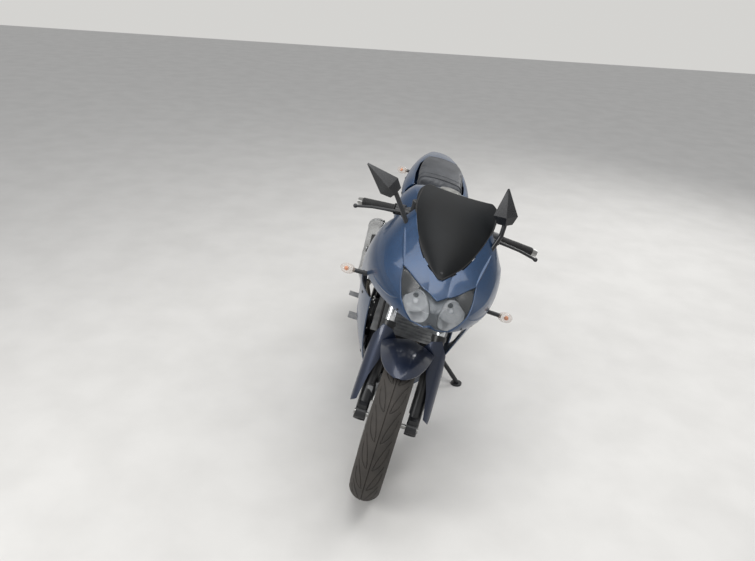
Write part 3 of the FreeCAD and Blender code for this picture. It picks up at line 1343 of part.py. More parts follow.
def build():
    place = parked()
    skin, inner = cowl_body(0), cowl_body(PANEL)
    steer = FreeCAD.Placement(V(0, 0, 0), FreeCAD.Rotation(UP, STEER_DEG), STEER_FOOT)
    panel = side_cowl()
    parts = {
        "main_frame": main_frame().fuse(stand_mount(place)),
        "rear_frame": rear_frame(),
        "engine": engine(),
        "radiator": radiator(),
        "swingarm": swingarm(),
        "pivot_bolt": pivot_bolt(),
        "rear_axle": rear_axle(),
        "rear_shock": rear_shock(),
        "chain": chain(),
        "chain_guard": chain_guard(),
        "rear_caliper": rear_caliper(),
        "exhaust_pipes": exhaust_pipes(),
        "muffler": muffler(),
        "heat_shield": heat_shield(),
        "upper_cowl": upper_cowl(skin, inner),
        "windscreen": windscreen(),
        "headlamp_lens": headlamp_lens(skin, inner),
        "headlamp_housing": headlamp_housing(),
        "headlamp_bowls": headlamp_bowls(),
        "side_cowl_left": panel.cut(stand_notch(place)),
        "side_cowl_right": mirrored(panel),
        "lower_cowl": lower_cowl(),
        "frame_covers": pair(frame_cover()),
        "fuel_tank": fuel_tank(),
        "rider_seat": rider_seat(),
        "pillion_seat": pillion_seat(),
        "tail_cowl": tail_cowl(),
        "tail_lamp": tail_lamp(),
        "rear_mudguard": rear_mudguard(),
        "plate_bracket": plate_bracket(),
        "signal_stalks": signal_stalks(skin),
        "signal_lenses": signal_lenses(),
        "instrument_panel": instrument_panel(),
        "fairing_stay": fairing_stay(),
        "mirrors": mirrors(skin),
        "peg_brackets": peg_brackets(),
        "foot_pegs": foot_pegs(),
        "foot_levers": foot_levers(),
        "fuel_cap": fuel_cap(),
    }
    parts.update(wheel_rear())
    turned = {
        "fork_tubes": fork_tubes(),
        "fork_lowers": fork_lowers(),
        "triple_clamps": triple_clamps(),
        "handlebars": handlebars(),
        "grips": grips(),
        "bar_weights": bar_weights(),
        "hand_controls": hand_controls(),
        "front_axle": front_axle(),
        "front_mudguard": front_mudguard(),
        "front_caliper": front_caliper(),
        "brake_hose": brake_hose(),
    }
    turned.update(wheel_front())
    for name, shape in turned.items():
        made = shape.copy()
        made.Placement = steer.multiply(made.Placement)
        parts[name] = made
    parts["side_stand"] = side_stand(place)
    parts = {name: leaned(shape, place) for name, shape in parts.items()}
    centre = middle(parts.values())
    for shape in parts.values():
        shape.translate(-centre)
    return parts, FreeCAD.Placement(-centre, FreeCAD.Rotation()).multiply(place)


def middle(shapes):
    """Middle of the outline on the ground."""
    points = [p for shape in shapes for p in shape.tessellate(0.5)[0]]
    xs, ys = [p.x for p in points], [p.y for p in points]
    return V((min(xs) + max(xs)) / 2, (min(ys) + max(ys)) / 2, 0)


def main():
    os.makedirs("parts", exist_ok=True)
    parts, place = build()
    for name, shape in parts.items():
        shape.exportStep("parts/" + name + ".step")


if __name__ == "__main__":
    main()
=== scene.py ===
# %% [markdown]
# A 250-class sport bike with a full fairing, parked on its side stand.
# The CAD frame already holds every hard piece at its real size, so this lesson dresses it: real finishes,
# cut tread, sewn seats, coil spring, chain links, ribbed grips, fasteners and dials.

import bmesh
import bpy
import json
import math
from mathutils import Matrix, Vector
from mathutils.bvhtree import BVHTree


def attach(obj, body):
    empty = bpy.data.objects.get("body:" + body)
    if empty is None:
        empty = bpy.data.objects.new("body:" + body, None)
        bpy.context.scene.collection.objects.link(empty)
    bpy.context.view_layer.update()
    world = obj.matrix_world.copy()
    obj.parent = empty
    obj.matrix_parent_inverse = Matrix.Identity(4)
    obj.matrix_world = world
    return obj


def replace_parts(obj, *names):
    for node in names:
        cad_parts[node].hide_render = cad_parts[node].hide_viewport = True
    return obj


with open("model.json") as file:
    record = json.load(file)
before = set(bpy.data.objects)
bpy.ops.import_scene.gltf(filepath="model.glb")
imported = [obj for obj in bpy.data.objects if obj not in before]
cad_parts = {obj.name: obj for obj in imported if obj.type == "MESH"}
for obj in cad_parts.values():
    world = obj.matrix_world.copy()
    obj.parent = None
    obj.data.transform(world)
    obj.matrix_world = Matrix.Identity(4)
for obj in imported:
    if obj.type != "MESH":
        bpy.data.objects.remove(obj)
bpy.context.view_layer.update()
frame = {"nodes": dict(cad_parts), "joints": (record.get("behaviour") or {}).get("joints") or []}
nodes = frame["nodes"]
MM = 0.001

# %% [markdown]
# The bike leans on its stand and its bars are turned, so each body has its own direction of up.
# The joints in the record give those directions: the rear wheel's spin axis is the bike's left,
# and the steering axis is the line the fork turns about.

# %% Directions and places from the joints
joints = {j["name"]: j for j in frame["joints"]}


def joint_line(name):
    """Place and direction of a joint's axis, in metres."""
    joint = joints[name]
    return Vector(joint["pos_m"]), Vector(joint["axis"]).normalized()


rear_hub, left = joint_line("rear_wheel_spin")
front_hub, front_left = joint_line("front_wheel_spin")
_, steer_up = joint_line("steering")
back = (Vector((0, 1, 0)) - left * left.y).normalized()
up = left.cross(back).normalized()
bike = Matrix((left, back, up)).transposed().to_4x4()
print("bike's own left, back, up", [tuple(round(c, 3) for c in d) for d in (left, back, up)])

# %% [markdown]
# Colours are written as the hex values a paint chart would give. The shader works in linear light, so one
# function turns each value. The others add a node with its settings, start a material, spread two tones over
# it in patches, and give it a grain.

# %% Colour and node helpers


def colour(code):
    """Linear RGBA from an sRGB hex value."""
    channels = [int(code[i:i + 2], 16) / 255 for i in (1, 3, 5)]
    linear = [c / 12.92 if c <= 0.04045 else ((c + 0.055) / 1.055) ** 2.4 for c in channels]
    return (*linear, 1.0)


def add(tree, kind, settings=(), **links):
    """One shader node with its settings, and its inputs set or linked."""
    node = tree.nodes.new(kind)
    for name, value in settings:
        setattr(node, name, value)
    for name, value in links.items():
        socket = node.inputs[int(name[1:])] if name[0] == "_" and name[1:].isdigit() \
            else node.inputs[name.replace("_", " ")]
        if isinstance(value, bpy.types.NodeSocket):
            tree.links.new(value, socket)
        else:
            socket.default_value = value
    return node


def finish(name, **sockets):
    """A new material, its tree and its Principled shader."""
    material = bpy.data.materials.new(name)
    material.use_nodes = True
    tree = material.node_tree
    shader = tree.nodes["Principled BSDF"]
    for socket, value in sockets.items():
        shader.inputs[socket.replace("_", " ")].default_value = value
    print("finish", name)
    return material, tree, shader


def two_tones(tree, place, size_mm, detail, tones, share):
    """Colour ramp between two hex values, over a noise whose patches have a real size."""
    noise = add(tree, "ShaderNodeTexNoise", Vector=place.outputs["Object"],
                Scale=1 / (size_mm * MM), Detail=detail)
    ramp = add(tree, "ShaderNodeValToRGB", Fac=noise.outputs["Fac"])
    for stop, position, tone in zip(ramp.color_ramp.elements, share, tones):
        stop.position = position
        stop.color = colour(tone)
    return ramp


def mottled(tree, shader, low, high, size_mm):
    """Soft change between two tones all over a piece, for its base colour."""
    place = add(tree, "ShaderNodeTexCoord")
    ramp = two_tones(tree, place, size_mm, 4.0, (low, high), (0.35, 0.65))
    tree.links.new(ramp.outputs["Color"], shader.inputs["Base Color"])
    return place


def roughened(tree, shader, place, size_mm, low, high, bump=0.0, depth_mm=0.1):
    """Roughness that varies with a fine noise, and the bump that goes with it."""
    noise = add(tree, "ShaderNodeTexNoise", Vector=place.outputs["Object"],
                Scale=1 / (size_mm * MM), Detail=3.0)
    reach = add(tree, "ShaderNodeMapRange", Value=noise.outputs["Fac"],
                To_Min=low, To_Max=high)
    tree.links.new(reach.outputs["Result"], shader.inputs["Roughness"])
    if bump:
        relief = add(tree, "ShaderNodeBump", Height=noise.outputs["Fac"], Strength=bump,
                     Distance=depth_mm * MM)
        tree.links.new(relief.outputs["Normal"], shader.inputs["Normal"])


print("mid grey #808080 in linear light is", round(colour("#808080")[0], 3))

# %% [markdown]
# Metallic fairing paint is three coats on moulded ABS: a dark blue base, tiny aluminium flakes, and clear
# lacquer. The flakes brighten the blue where the surface faces the lamps, and the lacquer gives the sharp
# highlight on top. A thin film of dust lies on everything that faces up, so the direction of the surface
# mixes it in. The mudguard's paint is darker and greyer.

# %% Paint
FLAKE_MM = 1.2                   # a real flake is about 0.05 mm, drawn coarser so that it shows
DUST_MM, DUST, MOST_DUST = 60, "#6d7079", 0.12


def metallic_paint(name, deep, bright):
    """Flake and lacquer over a deep tone, with dust on what faces up."""
    material, tree, shader = finish(name, Metallic=0.45, Coat_Weight=0.55, Coat_Roughness=0.07)
    place = add(tree, "ShaderNodeTexCoord")
    ramp = two_tones(tree, place, FLAKE_MM, 2.0, (deep, bright), (0.38, 0.66))
    lie = add(tree, "ShaderNodeNewGeometry")
    rise = add(tree, "ShaderNodeSeparateXYZ", Vector=lie.outputs["Normal"])
    patch = add(tree, "ShaderNodeTexNoise", Vector=place.outputs["Object"], Scale=1 / (DUST_MM * MM),
                Detail=5.0)
    film = add(tree, "ShaderNodeMath", (("operation", "MULTIPLY"),), _0=rise.outputs["Z"],
               _1=patch.outputs["Fac"])
    amount = add(tree, "ShaderNodeMapRange", Value=film.outputs["Value"], From_Min=0.25,
                 From_Max=0.75, To_Min=0.0, To_Max=MOST_DUST)
    mix = add(tree, "ShaderNodeMix", (("data_type", "RGBA"),), Factor=amount.outputs["Result"])
    tree.links.new(ramp.outputs["Color"], mix.inputs[6])
    mix.inputs[7].default_value = colour(DUST)
    tree.links.new(mix.outputs[2], shader.inputs["Base Color"])
    dull = add(tree, "ShaderNodeMapRange", Value=patch.outputs["Fac"], To_Min=0.28, To_Max=0.46)
    tree.links.new(dull.outputs["Result"], shader.inputs["Roughness"])
    return material


blue_paint = metallic_paint("metallic_paint_on_abs", "#0a2340", "#19456e")
dark_paint = metallic_paint("dark_paint_on_abs", "#111a2c", "#1c2a45")

# %% [markdown]
# Every other finish starts from typical values for its material. A solid colour would look like plastic on
# all of them, so each gets patches of two close tones and a grain of a real size, which roughness and relief
# follow. A grain finer than a millimetre is drawn at 1.5 mm or more, so that it shows.

# %% Plastics, rubbers and vinyl


def grained(name, low, high, patch_mm, rough, grain_mm, bump, depth_mm=0.15, **sockets):
    """Two tones in patches of a size in mm, a range of roughness, and the size and strength of a grain."""
    material, tree, shader = finish(name, **sockets)
    place = mottled(tree, shader, low, high, patch_mm)
    roughened(tree, shader, place, grain_mm, rough[0], rough[1], bump, depth_mm)
    return material


# Moulded ABS has a spark-eroded grain, which spreads a highlight into a soft sheen.
black_abs = grained("moulded_abs_black", "#161719", "#222427", 40, (0.42, 0.6), 1.5, 0.25)
mirror_shell = grained("mirror_shell_abs", "#17181b", "#222427", 40, (0.22, 0.34), 1.5, 0.1)
# From a polished mould it is glossy, and a lamp shows in it as a small bright spot.
gloss_black = grained("gloss_black_polycarbonate", "#0b0c0d", "#121314", 40, (0.12, 0.2), 4, 0.0)
# Moulded rubber is matt and nearly black. Tyres are paler and browner, and the rubber deep in the tread's
# cuts is drawn darker, which is painted shade.
rubber = grained("moulded_rubber", "#121213", "#1d1d1e", 15, (0.6, 0.78), 2, 0.3)
tyre_rubber = grained("vulcanised_tyre_rubber", "#312e2b", "#3b3733", 45, (0.72, 0.88), 2.5, 0.35)
groove_shade_rubber = grained("tyre_groove_painted_shade", "#171615", "#211f1d", 20, (0.8, 0.92), 2.5, 0.2)
# Seat vinyl is embossed like leather, so its sheen is broken up. The piping is smoother.
vinyl = grained("grained_seat_vinyl", "#303236", "#3f4145", 60, (0.45, 0.6), 1.6, 0.6, 0.25)
vinyl_band = grained("smooth_seat_vinyl", "#26282b", "#333539", 60, (0.4, 0.55), 1.6, 0.4, 0.2)

# %% Metals and enamels
# Satin enamel on steel tube is smooth and dark, with a broad soft highlight. The spring's is glossier.
satin_black = grained("satin_enamel_on_steel", "#141517", "#232427", 60, (0.3, 0.48), 4, 0.05)
spring_enamel = grained("spring_enamel", "#1a1a1c", "#252628", 40, (0.25, 0.36), 4, 0.05)
lamp_grey = grained("lamp_surround_painted", "#3f4347", "#55595d", 40, (0.3, 0.42), 2, 0.1)
plate_white = grained("plate_white_enamel", "#cfcfca", "#dcdcd8", 60, (0.35, 0.45), 3, 0.05)
# Sand and die castings have a pebbly skin: black paint hides its colour and not its grain.
cast_alloy = grained("cast_aluminium_painted", "#1b1c1e", "#2b2c2e", 50, (0.38, 0.55), 2.5, 0.3,
                     0.2, Metallic=0.3)
raw_alloy = grained("cast_aluminium_raw", "#8b8d90", "#a9abad", 35, (0.35, 0.5), 2.0, 0.25, 0.2,
                    Metallic=1.0)
# Turned and ground steel is bright with a fine grain. Oil and heat leave it dull and brown.
machined_steel = grained("machined_steel", "#8f8f8e", "#b0b0ae", 30, (0.25, 0.4), 1.5, 0.1, 0.05,
                         Metallic=1.0)
dark_steel = grained("oiled_steel", "#3e3c39", "#5c5852", 20, (0.35, 0.55), 3, 0.15, 0.1,
                     Metallic=1.0)
# Hard chrome mirrors the room sharply, and brushed stainless blurs it.
chromed = grained("hard_chrome", "#c9ccd0", "#dcdee0", 60, (0.06, 0.14), 3, 0.02, 0.02,
                  Metallic=1.0)
brushed = grained("brushed_stainless", "#a8a9aa", "#c9cacb", 60, (0.2, 0.34), 2, 0.08, 0.05,
                  Metallic=1.0)
# Silver behind glass mirrors without a blur. The film in a lamp is less even, so it glows more than mirrors.
mirror_glass = grained("silvered_glass", "#cfd6dd", "#dbe1e6", 80, (0.02, 0.05), 5, 0.0,
                       Metallic=1.0)
aluminised = grained("aluminised_reflector", "#eceef0", "#f8f9fa", 12, (0.2, 0.3), 3, 0.0,
                     Metallic=0.55)

# %% [markdown]
# A thin clear moulding could be given transmission, but a light behind two such walls turns dark. Here most
# of the light passes straight through, by a low alpha, and only the surface's reflection stays. The smoked
# screen is so dark that it is drawn solid.

# %% Lenses, screen and dials


def clear_plastic(name, tint, share):
    """Thin clear moulding that shows a share of its own tint."""
    material, tree, shader = finish(name, Roughness=0.03, Alpha=share)
    place = mottled(tree, shader, tint, tint, 50)
    roughened(tree, shader, place, 8, 0.02, 0.05)
    return material


clear_lens = clear_plastic("clear_polycarbonate", "#8b9196", 0.08)
signal_lens = clear_plastic("clear_acrylic", "#cdbfb2", 0.28)
smoked = grained("smoked_acrylic", "#07090b", "#0c0f12", 90, (0.34, 0.44), 6, 0.0,
                 Specular_IOR_Level=0.2)
# Dyed acrylic is glossy and deep, and lacquer on a bulb a little softer.
red_plastic = grained("red_acrylic", "#6d0b0c", "#8e1314", 30, (0.12, 0.2), 4, 0.0,
                      Coat_Weight=0.5)
amber_bulb = grained("amber_lacquered_bulb", "#c8651a", "#e07e2a", 6, (0.15, 0.25), 2, 0.0)
# Printed faces are matt, so that a rider reads them in the sun. The hands are a fluorescent orange.
dial_black = grained("printed_dial_black", "#0d0e10", "#14161a", 20, (0.5, 0.6), 2, 0.0)
dial_white = grained("printed_dial_white", "#d9dad8", "#e6e6e3", 20, (0.5, 0.6), 2, 0.0)
dial_orange = grained("fluorescent_orange_acrylic", "#d8481a", "#e65c28", 20, (0.3, 0.4), 2, 0.0)

# %% [markdown]
# The CAD nodes keep their shapes and get their finishes by name, so one table tells what each piece of the
# bike is made of.

# %% Finish of each CAD node
FINISHES = {
    blue_paint: "upper_cowl side_cowl_left side_cowl_right lower_cowl fuel_tank tail_cowl "
                "frame_covers",
    dark_paint: "front_mudguard",
    lamp_grey: "headlamp_housing",
    black_abs: "chain_guard rear_mudguard plate_bracket signal_stalks "
               "instrument_panel heat_shield",
    mirror_shell: "mirrors",
    satin_black: "main_frame rear_frame peg_brackets side_stand fork_lowers fairing_stay "
                 "hand_controls handlebars triple_clamps",
    cast_alloy: "engine front_rim rear_rim",
    raw_alloy: "foot_pegs foot_levers radiator swingarm front_caliper rear_caliper",
    machined_steel: "front_disc rear_disc front_axle rear_axle pivot_bolt bar_weights "
                    "rear_sprocket fuel_cap",
    dark_steel: "chain exhaust_pipes rear_shock",
    brushed: "muffler",
    chromed: "fork_tubes",
    aluminised: "headlamp_bowls",
    rubber: "grips brake_hose",
    tyre_rubber: "front_tyre rear_tyre",
    vinyl: "rider_seat pillion_seat",
    clear_lens: "headlamp_lens",
    signal_lens: "signal_lenses",
    smoked: "windscreen",
    red_plastic: "tail_lamp",
}
for material, names in FINISHES.items():
    for name in names.split():
        nodes[name].data.materials.clear()
        nodes[name].data.materials.append(material)
print("nodes without a finish:", [n for n, o in nodes.items() if not o.data.materials])

# %% [markdown]
# Each piece that follows is drawn in the bike's own upright frame, where the front axle stands over the
# origin, x is the rider's left, y runs back and z up. One matrix then leans it with the chassis, and a second
# one turns it with the fork. The wheels' axles fix both.

# %% From the bike's own frame to the parked one
# Driving sizes, as in the CAD source
WHEELBASE = 1400 * MM
FRONT_TYRE_R, REAR_TYRE_R = 293 * MM, 307 * MM
RAKE, TRAIL = math.radians(26), 82 * MM

bike_frame = Matrix.Translation(rear_hub) @ bike @ Matrix.Translation((0, -WHEELBASE, -REAR_TYRE_R))
fork_ahead = front_left.cross(steer_up)
fork_back = steer_up * math.sin(RAKE) - fork_ahead * math.cos(RAKE)
fork_rise = steer_up * math.cos(RAKE) + fork_ahead * math.sin(RAKE)
fork_turn = Matrix((front_left, fork_back, fork_rise)).transposed().to_4x4()
fork_frame = Matrix.Translation(front_hub) @ fork_turn @ Matrix.Translation((0, 0, -FRONT_TYRE_R))


def mm(x, y, z):
    """A point given in millimetres."""
    return Vector((x, y, z)) * MM


def fork_point(x, ahead, rise):
    """A point in millimetres along and ahead of the steering axis, in the fork's straight frame."""
    foot = Vector((0, -TRAIL, 0))
    return foot + (Vector((x, 0, 0)) + Vector((0, -math.cos(RAKE), math.sin(RAKE))) * ahead
                   + Vector((0, math.sin(RAKE), math.cos(RAKE))) * rise) * MM


print("the ground under the front axle is at", tuple(round(c, 3) for c in bike_frame.translation))

# %% [markdown]
# A finished piece is a mesh whose vertices already lie where the piece is. This helper places the shape,
# turns its faces outwards, keeps its sharp edges crisp, and lets it ride its body. The others join points
# by edges, copy a shape to many places, lay a round tube along points and draw an arc.

# %% A finished piece
CRISP = math.radians(35)


def piece(name, shape, place, body, slot, *finishes):
    """An object made of a bmesh, set in its place, with its body and finishes. The record slot is not used.
    """
    shape.transform(place)
    bmesh.ops.recalc_face_normals(shape, faces=shape.faces)
    mesh = bpy.data.meshes.new(name)
    shape.to_mesh(mesh)
    shape.free()
    mesh.shade_smooth()
    mesh.set_sharp_from_angle(angle=CRISP)
    for material in finishes:
        mesh.materials.append(material)
    made = bpy.data.objects.new(name, mesh)
    bpy.context.scene.collection.objects.link(made)
    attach(made, body)
    print(name, len(mesh.polygons), "faces")
    return made


def along(direction, point=Vector()):
    """Matrix that stands a shape's z axis along a direction at a point."""
    return Matrix.Translation(point) @ direction.to_track_quat("Z", "Y").to_matrix().to_4x4()


def chain_of(shape, points):
    """An open chain of edges through points."""
    corners = [shape.verts.new(p) for p in points]
    return corners + [shape.edges.new(pair) for pair in zip(corners, corners[1:])]


def repeated(shape, places):
    """One bmesh with a copy of a shape at each place."""
    one = bpy.data.meshes.new("pattern")
    shape.to_mesh(one)
    shape.free()
    whole = bmesh.new()
    for place in places:
        copy = one.copy()
        copy.transform(place)
        whole.from_mesh(copy)
        bpy.data.meshes.remove(copy)
    bpy.data.meshes.remove(one)
    return whole


def tube(points, radius, smooth=True, sides=3):
    """A round tube along points, as a bmesh."""
    curve = bpy.data.curves.new("run", "CURVE")
    curve.dimensions = "3D"
    spline = curve.splines.new("NURBS" if smooth else "POLY")
    spline.points.add(len(points) - 1)
    for knot, p in zip(spline.points, points):
        knot.co = (*p, 1)
    if smooth:
        spline.order_u = 3
        spline.use_endpoint_u = True
        spline.resolution_u = 6
    curve.bevel_depth = radius
    curve.bevel_resolution = sides
    curve.use_fill_caps = True
    line = bpy.data.objects.new("run", curve)
    bpy.context.scene.collection.objects.link(line)
    mesh = bpy.data.meshes.new_from_object(line.evaluated_get(bpy.context.evaluated_depsgraph_get()))
    bpy.data.objects.remove(line)
    shape = bmesh.new()
    shape.from_mesh(mesh)
    return shape


def arc_points(a, b, c, count):
    """Points of the arc through three points of the x-z plane, without the last."""
    ab, cb = (a + b) / 2, (c + b) / 2
    n1, n2 = b - a, c - b
    det = n1.x * n2.z - n1.z * n2.x
    m1, m2 = n1.dot(ab), n2.dot(cb)
    middle = Vector(((m1 * n2.z - m2 * n1.z) / det, 0, (n1.x * m2 - n2.x * m1) / det))
    start, end = a - middle, c - middle
    sweep = math.atan2(start.x * end.z - start.z * end.x, start.x * end.x + start.z * end.z)
    turned = [Matrix.Rotation(-sweep * i / count, 3, "Y") @ start for i in range(count)]
    return [middle + p for p in turned]


# %% [markdown]
# A road tyre is a hoop of one section, so it is spun. The tread of this one has a thin groove round the
# middle and, on each side, a row of long leaf-shaped cuts whose tips point at the ground ahead of the contact
# patch. The section is spun in steps of about 2 mm, and each vertex that lies in a cut is moved towards the
# axle, which gives real edges for the light to catch.

# %% Cuts of the tread
TREAD_DEPTH = 3.2 * MM
GROOVE_HALF, CUT_HALF, CUT_WALL = 1.6, 1.9, 1.8      # half widths in mm, and how steep a cut's walls are
LEAF_ROOT = 10.0            # distance of a leaf's tip from the middle of the tread, in mm
# A leaf has an inner and an outer arm. Columns: reach sideways, run of its bend, slope, length, in mm
INNER_ARM, OUTER_ARM = (37, 120, 0.49, 122), (42, 35, 1.2, 92)
INNER_POWER = 1.6


def leaf_arms(run):
    """Distance of each arm from the middle, its slope and its length, at a run in mm."""
    reach, bend, slope, length = INNER_ARM
    inner = (LEAF_ROOT + reach * (run / bend) ** INNER_POWER, slope * (run / bend) ** (INNER_POWER - 1),
             length)
    reach, bend, slope, length = OUTER_ARM
    outer = (LEAF_ROOT + reach * (1 - math.exp(-run / bend)), slope * math.exp(-run / bend), length)
    return inner, outer


def cut_share(side, round_mm, pitch):
    """How deep the tread is cut at a point: 1 in the middle of a cut and 0 on the blocks."""
    near = max(0.0, 1 - abs(side) / GROOVE_HALF)
    for lap in (0, 1):
        run = round_mm % pitch + lap * pitch
        for arm, slope, length in leaf_arms(run):
            if run < length:
                gap = abs(abs(side) - arm) / math.hypot(1, slope)
                near = max(near, 1 - gap / CUT_HALF)
    return min(1.0, near * CUT_WALL)


print("half a leaf along, its arms lie", [round(arm[0], 1) for arm in leaf_arms(60)], "mm from the middle")

# %% Tyres
BEAD_R, BEAD_SHARE, TYRE_WALL = 216.4 * MM, 0.66, 9 * MM     # the bead's place as a share of half the width
WAIST_LOW, WAIST_IN, SHOULDER_ROOM = 3 * MM, 2 * MM, 1 * MM
WALL_STEPS, CROWN_STEPS, PITCH_STEPS = 6, 58, 50


def tyre_section(crown_r, half, shoulder_r):
    """Outline of a tyre's section from its crown, half width and shoulder."""
    mid_r = (shoulder_r + BEAD_R) / 2 - WAIST_LOW
    far = Vector((half, 0, shoulder_r))
    crown, waist = Vector((0, 0, crown_r)), Vector((half - WAIST_IN, 0, mid_r))
    bead = Vector((half * BEAD_SHARE, 0, BEAD_R))
    flip = Matrix.Scale(-1, 3, (1, 0, 0))
    outline = arc_points(flip @ bead, flip @ waist, flip @ far, WALL_STEPS)
    outline += arc_points(flip @ far, crown, far, CROWN_STEPS)
    outline += arc_points(far, waist, bead, WALL_STEPS) + [bead]
    inside = [Vector((bead.x - TYRE_WALL, 0, BEAD_R)), Vector((half - TYRE_WALL, 0, mid_r)),
              Vector((0, 0, crown_r - TYRE_WALL))]
    return outline + inside + [flip @ p for p in reversed(inside[:-1])]


def tyre(name, node, hub, turn, crown_r, half, shoulder_r, leaves, body):
    """Spin one pitch of the tyre's section, cut its tread and repeat it round the axle."""
    outline = tyre_section(crown_r, half, shoulder_r)
    shape = bmesh.new()
    section = chain_of(shape, outline)
    section.append(shape.edges.new((section[len(outline) - 1], section[0])))
    sector = math.tau / leaves
    bmesh.ops.spin(shape, geom=section, cent=(0, 0, 0), axis=(1, 0, 0), angle=sector,
                   steps=PITCH_STEPS)
    pitch = sector * crown_r / MM
    bend = (half ** 2 + (crown_r - shoulder_r) ** 2) / (2 * (crown_r - shoulder_r))
    for corner in shape.verts:
        spoke = math.hypot(corner.co.y, corner.co.z)
        if spoke < shoulder_r - SHOULDER_ROOM or abs(corner.co.x) > half:
            continue
        side = bend * math.asin(max(-1.0, min(1.0, corner.co.x / bend))) / MM
        round_mm = (math.atan2(corner.co.z, -corner.co.y) + math.tau) * crown_r / MM
        depth = TREAD_DEPTH * cut_share(side, round_mm, pitch)
        if depth > 0:
            corner.co.yz *= (spoke - depth) / spoke
            corner.tag = depth > 0.5 * TREAD_DEPTH
    # Faces with every corner deep in a cut take the second finish: a darker rubber, painted shade in the
    # grooves.
    for face in shape.faces:
        face.material_index = 1 if all(corner.tag for corner in face.verts) else 0
    hoop = repeated(shape, [Matrix.Rotation(sector * i, 4, "X") for i in range(leaves)])
    bmesh.ops.remove_doubles(hoop, verts=hoop.verts, dist=1e-5)
    made = piece(name, hoop, Matrix.Translation(hub) @ turn, body, "tyre", tyre_rubber, groove_shade_rubber)
    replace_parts(made, node)


# Columns: piece, CAD tyre, axle, turn, crown radius, half width, shoulder radius, leaves, body
TYRES = (("front_tread", "front_tyre", front_hub, fork_turn, FRONT_TYRE_R, 55 * MM, 258 * MM, 18,
          "front_wheel"),
         ("rear_tread", "rear_tyre", rear_hub, bike, REAR_TYRE_R, 65 * MM, 265 * MM, 19, "rear_wheel"))
for row in TYRES:
    tyre(*row)

# %% [markdown]
# The seats are foam under stretched vinyl. Their crown could be shaped by hand, but a cover under pressure
# finds it by itself. The CAD solids hold the size, so each one is remeshed, puffed up a little by a cloth
# simulation with pressure inside, and held to a few millimetres of swelling.

# %% Sewn seats


def joined_copy(node, name, shrink):
    """A welded copy of a CAD node, drawn in by a few millimetres."""
    shape = bmesh.new()
    shape.from_mesh(nodes[node].data)
    bmesh.ops.remove_doubles(shape, verts=shape.verts, dist=1e-5)
    bmesh.ops.recalc_face_normals(shape, faces=shape.faces)
    shape.normal_update()
    for corner in shape.verts:
        corner.co -= corner.normal * shrink
    mesh = bpy.data.meshes.new(name)
    shape.to_mesh(mesh)
    shape.free()
    made = bpy.data.objects.new(name, mesh)
    bpy.context.scene.collection.objects.link(made)
    return made


def applied(made):
    """Swap the object's mesh for the one its modifiers give."""
    bpy.context.view_layer.update()
    seen = made.evaluated_get(bpy.context.evaluated_depsgraph_get())
    mesh = bpy.data.meshes.new_from_object(seen)
    made.modifiers.clear()
    made.data = mesh
    return mesh


VOXEL, DRAWN_IN, SWELL = 5.5 * MM, 3.5 * MM, 6 * MM
FRAMES, SMOOTHINGS, PRESSURE = 20, 6, 4


def padded_seat(name, node, cover):
    """A cushion of a CAD seat's size, swollen under its cover."""
    made = joined_copy(node, name, DRAWN_IN)
    remesh = made.modifiers.new("remesh", "REMESH")
    remesh.mode, remesh.voxel_size = "VOXEL", VOXEL
    mesh = applied(made)
    smooth = made.modifiers.new("smooth", "SMOOTH")
    smooth.iterations = SMOOTHINGS
    mesh = applied(made)
    start = [corner.co.copy() for corner in mesh.vertices]
    cloth = made.modifiers.new("cloth", "CLOTH")
    cloth.settings.use_pressure = True
    cloth.settings.uniform_pressure_force = PRESSURE
    cloth.settings.effector_weights.gravity = 0
    for step in range(1, FRAMES + 1):
        bpy.context.scene.frame_set(step)
    mesh = applied(made)
    for corner, before in zip(mesh.vertices, start):
        moved = corner.co - before
        corner.co = before + moved * min(1.0, SWELL / max(moved.length, 1e-9))
    bpy.context.scene.frame_set(1)
    rounder = made.modifiers.new("rounder", "SUBSURF")
    rounder.levels = rounder.render_levels = 1
    mesh.shade_smooth()
    mesh.materials.append(cover)
    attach(made, "chassis")
    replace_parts(made, node)
    print(name, len(mesh.polygons), "faces")
    return made


rider_pad = padded_seat("rider_cushion", "rider_seat", vinyl)
pillion_pad = padded_seat("pillion_cushion", "pillion_seat", vinyl)

# %% [markdown]
# Piping covers the sewn joint between two panels of the cover. A texture couldn't catch the light, so a cord
# is laid along the line where a leaning plane cuts the cushion. It stops short of the cushion's foot.

# %% Piping
SEAM_END = 8 * MM           # height above the cushion's foot where the piping stops


def seam(name, pad, station, height, slope, thick=1.5 * MM):
    """Piping where a leaning plane cuts a cushion, the plane given by a point on it and its slope."""
    shape = bmesh.new()
    shape.from_mesh(pad.data)
    point = bike_frame @ mm(0, station, height)
    normal = (bike.to_3x3() @ Vector((0, 1, slope))).normalized()
    cut = bmesh.ops.bisect_plane(shape, geom=shape.verts[:] + shape.edges[:] + shape.faces[:],
                                 plane_co=point, plane_no=normal)["geom_cut"]
    edges = {item for item in cut if isinstance(item, bmesh.types.BMEdge)}
    heights = {corner: (bike_frame.inverted() @ corner.co).z for edge in edges
               for corner in edge.verts}
    floor_z = min(heights.values()) + SEAM_END
    edges = {edge for edge in edges if min(heights[corner] for corner in edge.verts) > floor_z}
    count = {}
    for edge in edges:
        for corner in edge.verts:
            count[corner] = count.get(corner, 0) + 1
    run = [next(corner for corner, n in count.items() if n == 1)]
    while True:
        onward = [edge for edge in run[-1].link_edges if edge in edges]
        if not onward:
            break
        edges.remove(onward[0])
        run.append(onward[0].other_vert(run[-1]))
    points = [corner.co.copy() for corner in run]
    shape.free()
    return piece(name, tube(points[::2], thick), Matrix(), "chassis", "seat_vinyl", vinyl_band)


# Columns: name, cushion, distance back, height and slope of the plane
SEAMS = (("pillion_front_seam", pillion_pad, 1150, 900, -0.25),
         ("pillion_back_seam", pillion_pad, 1395, 920, 0.3),
         ("rider_front_seam", rider_pad, 905, 790, -0.4),
         ("rider_back_seam", rider_pad, 1062, 800, 0.35))
for seam_row in SEAMS:
    seam(*seam_row)

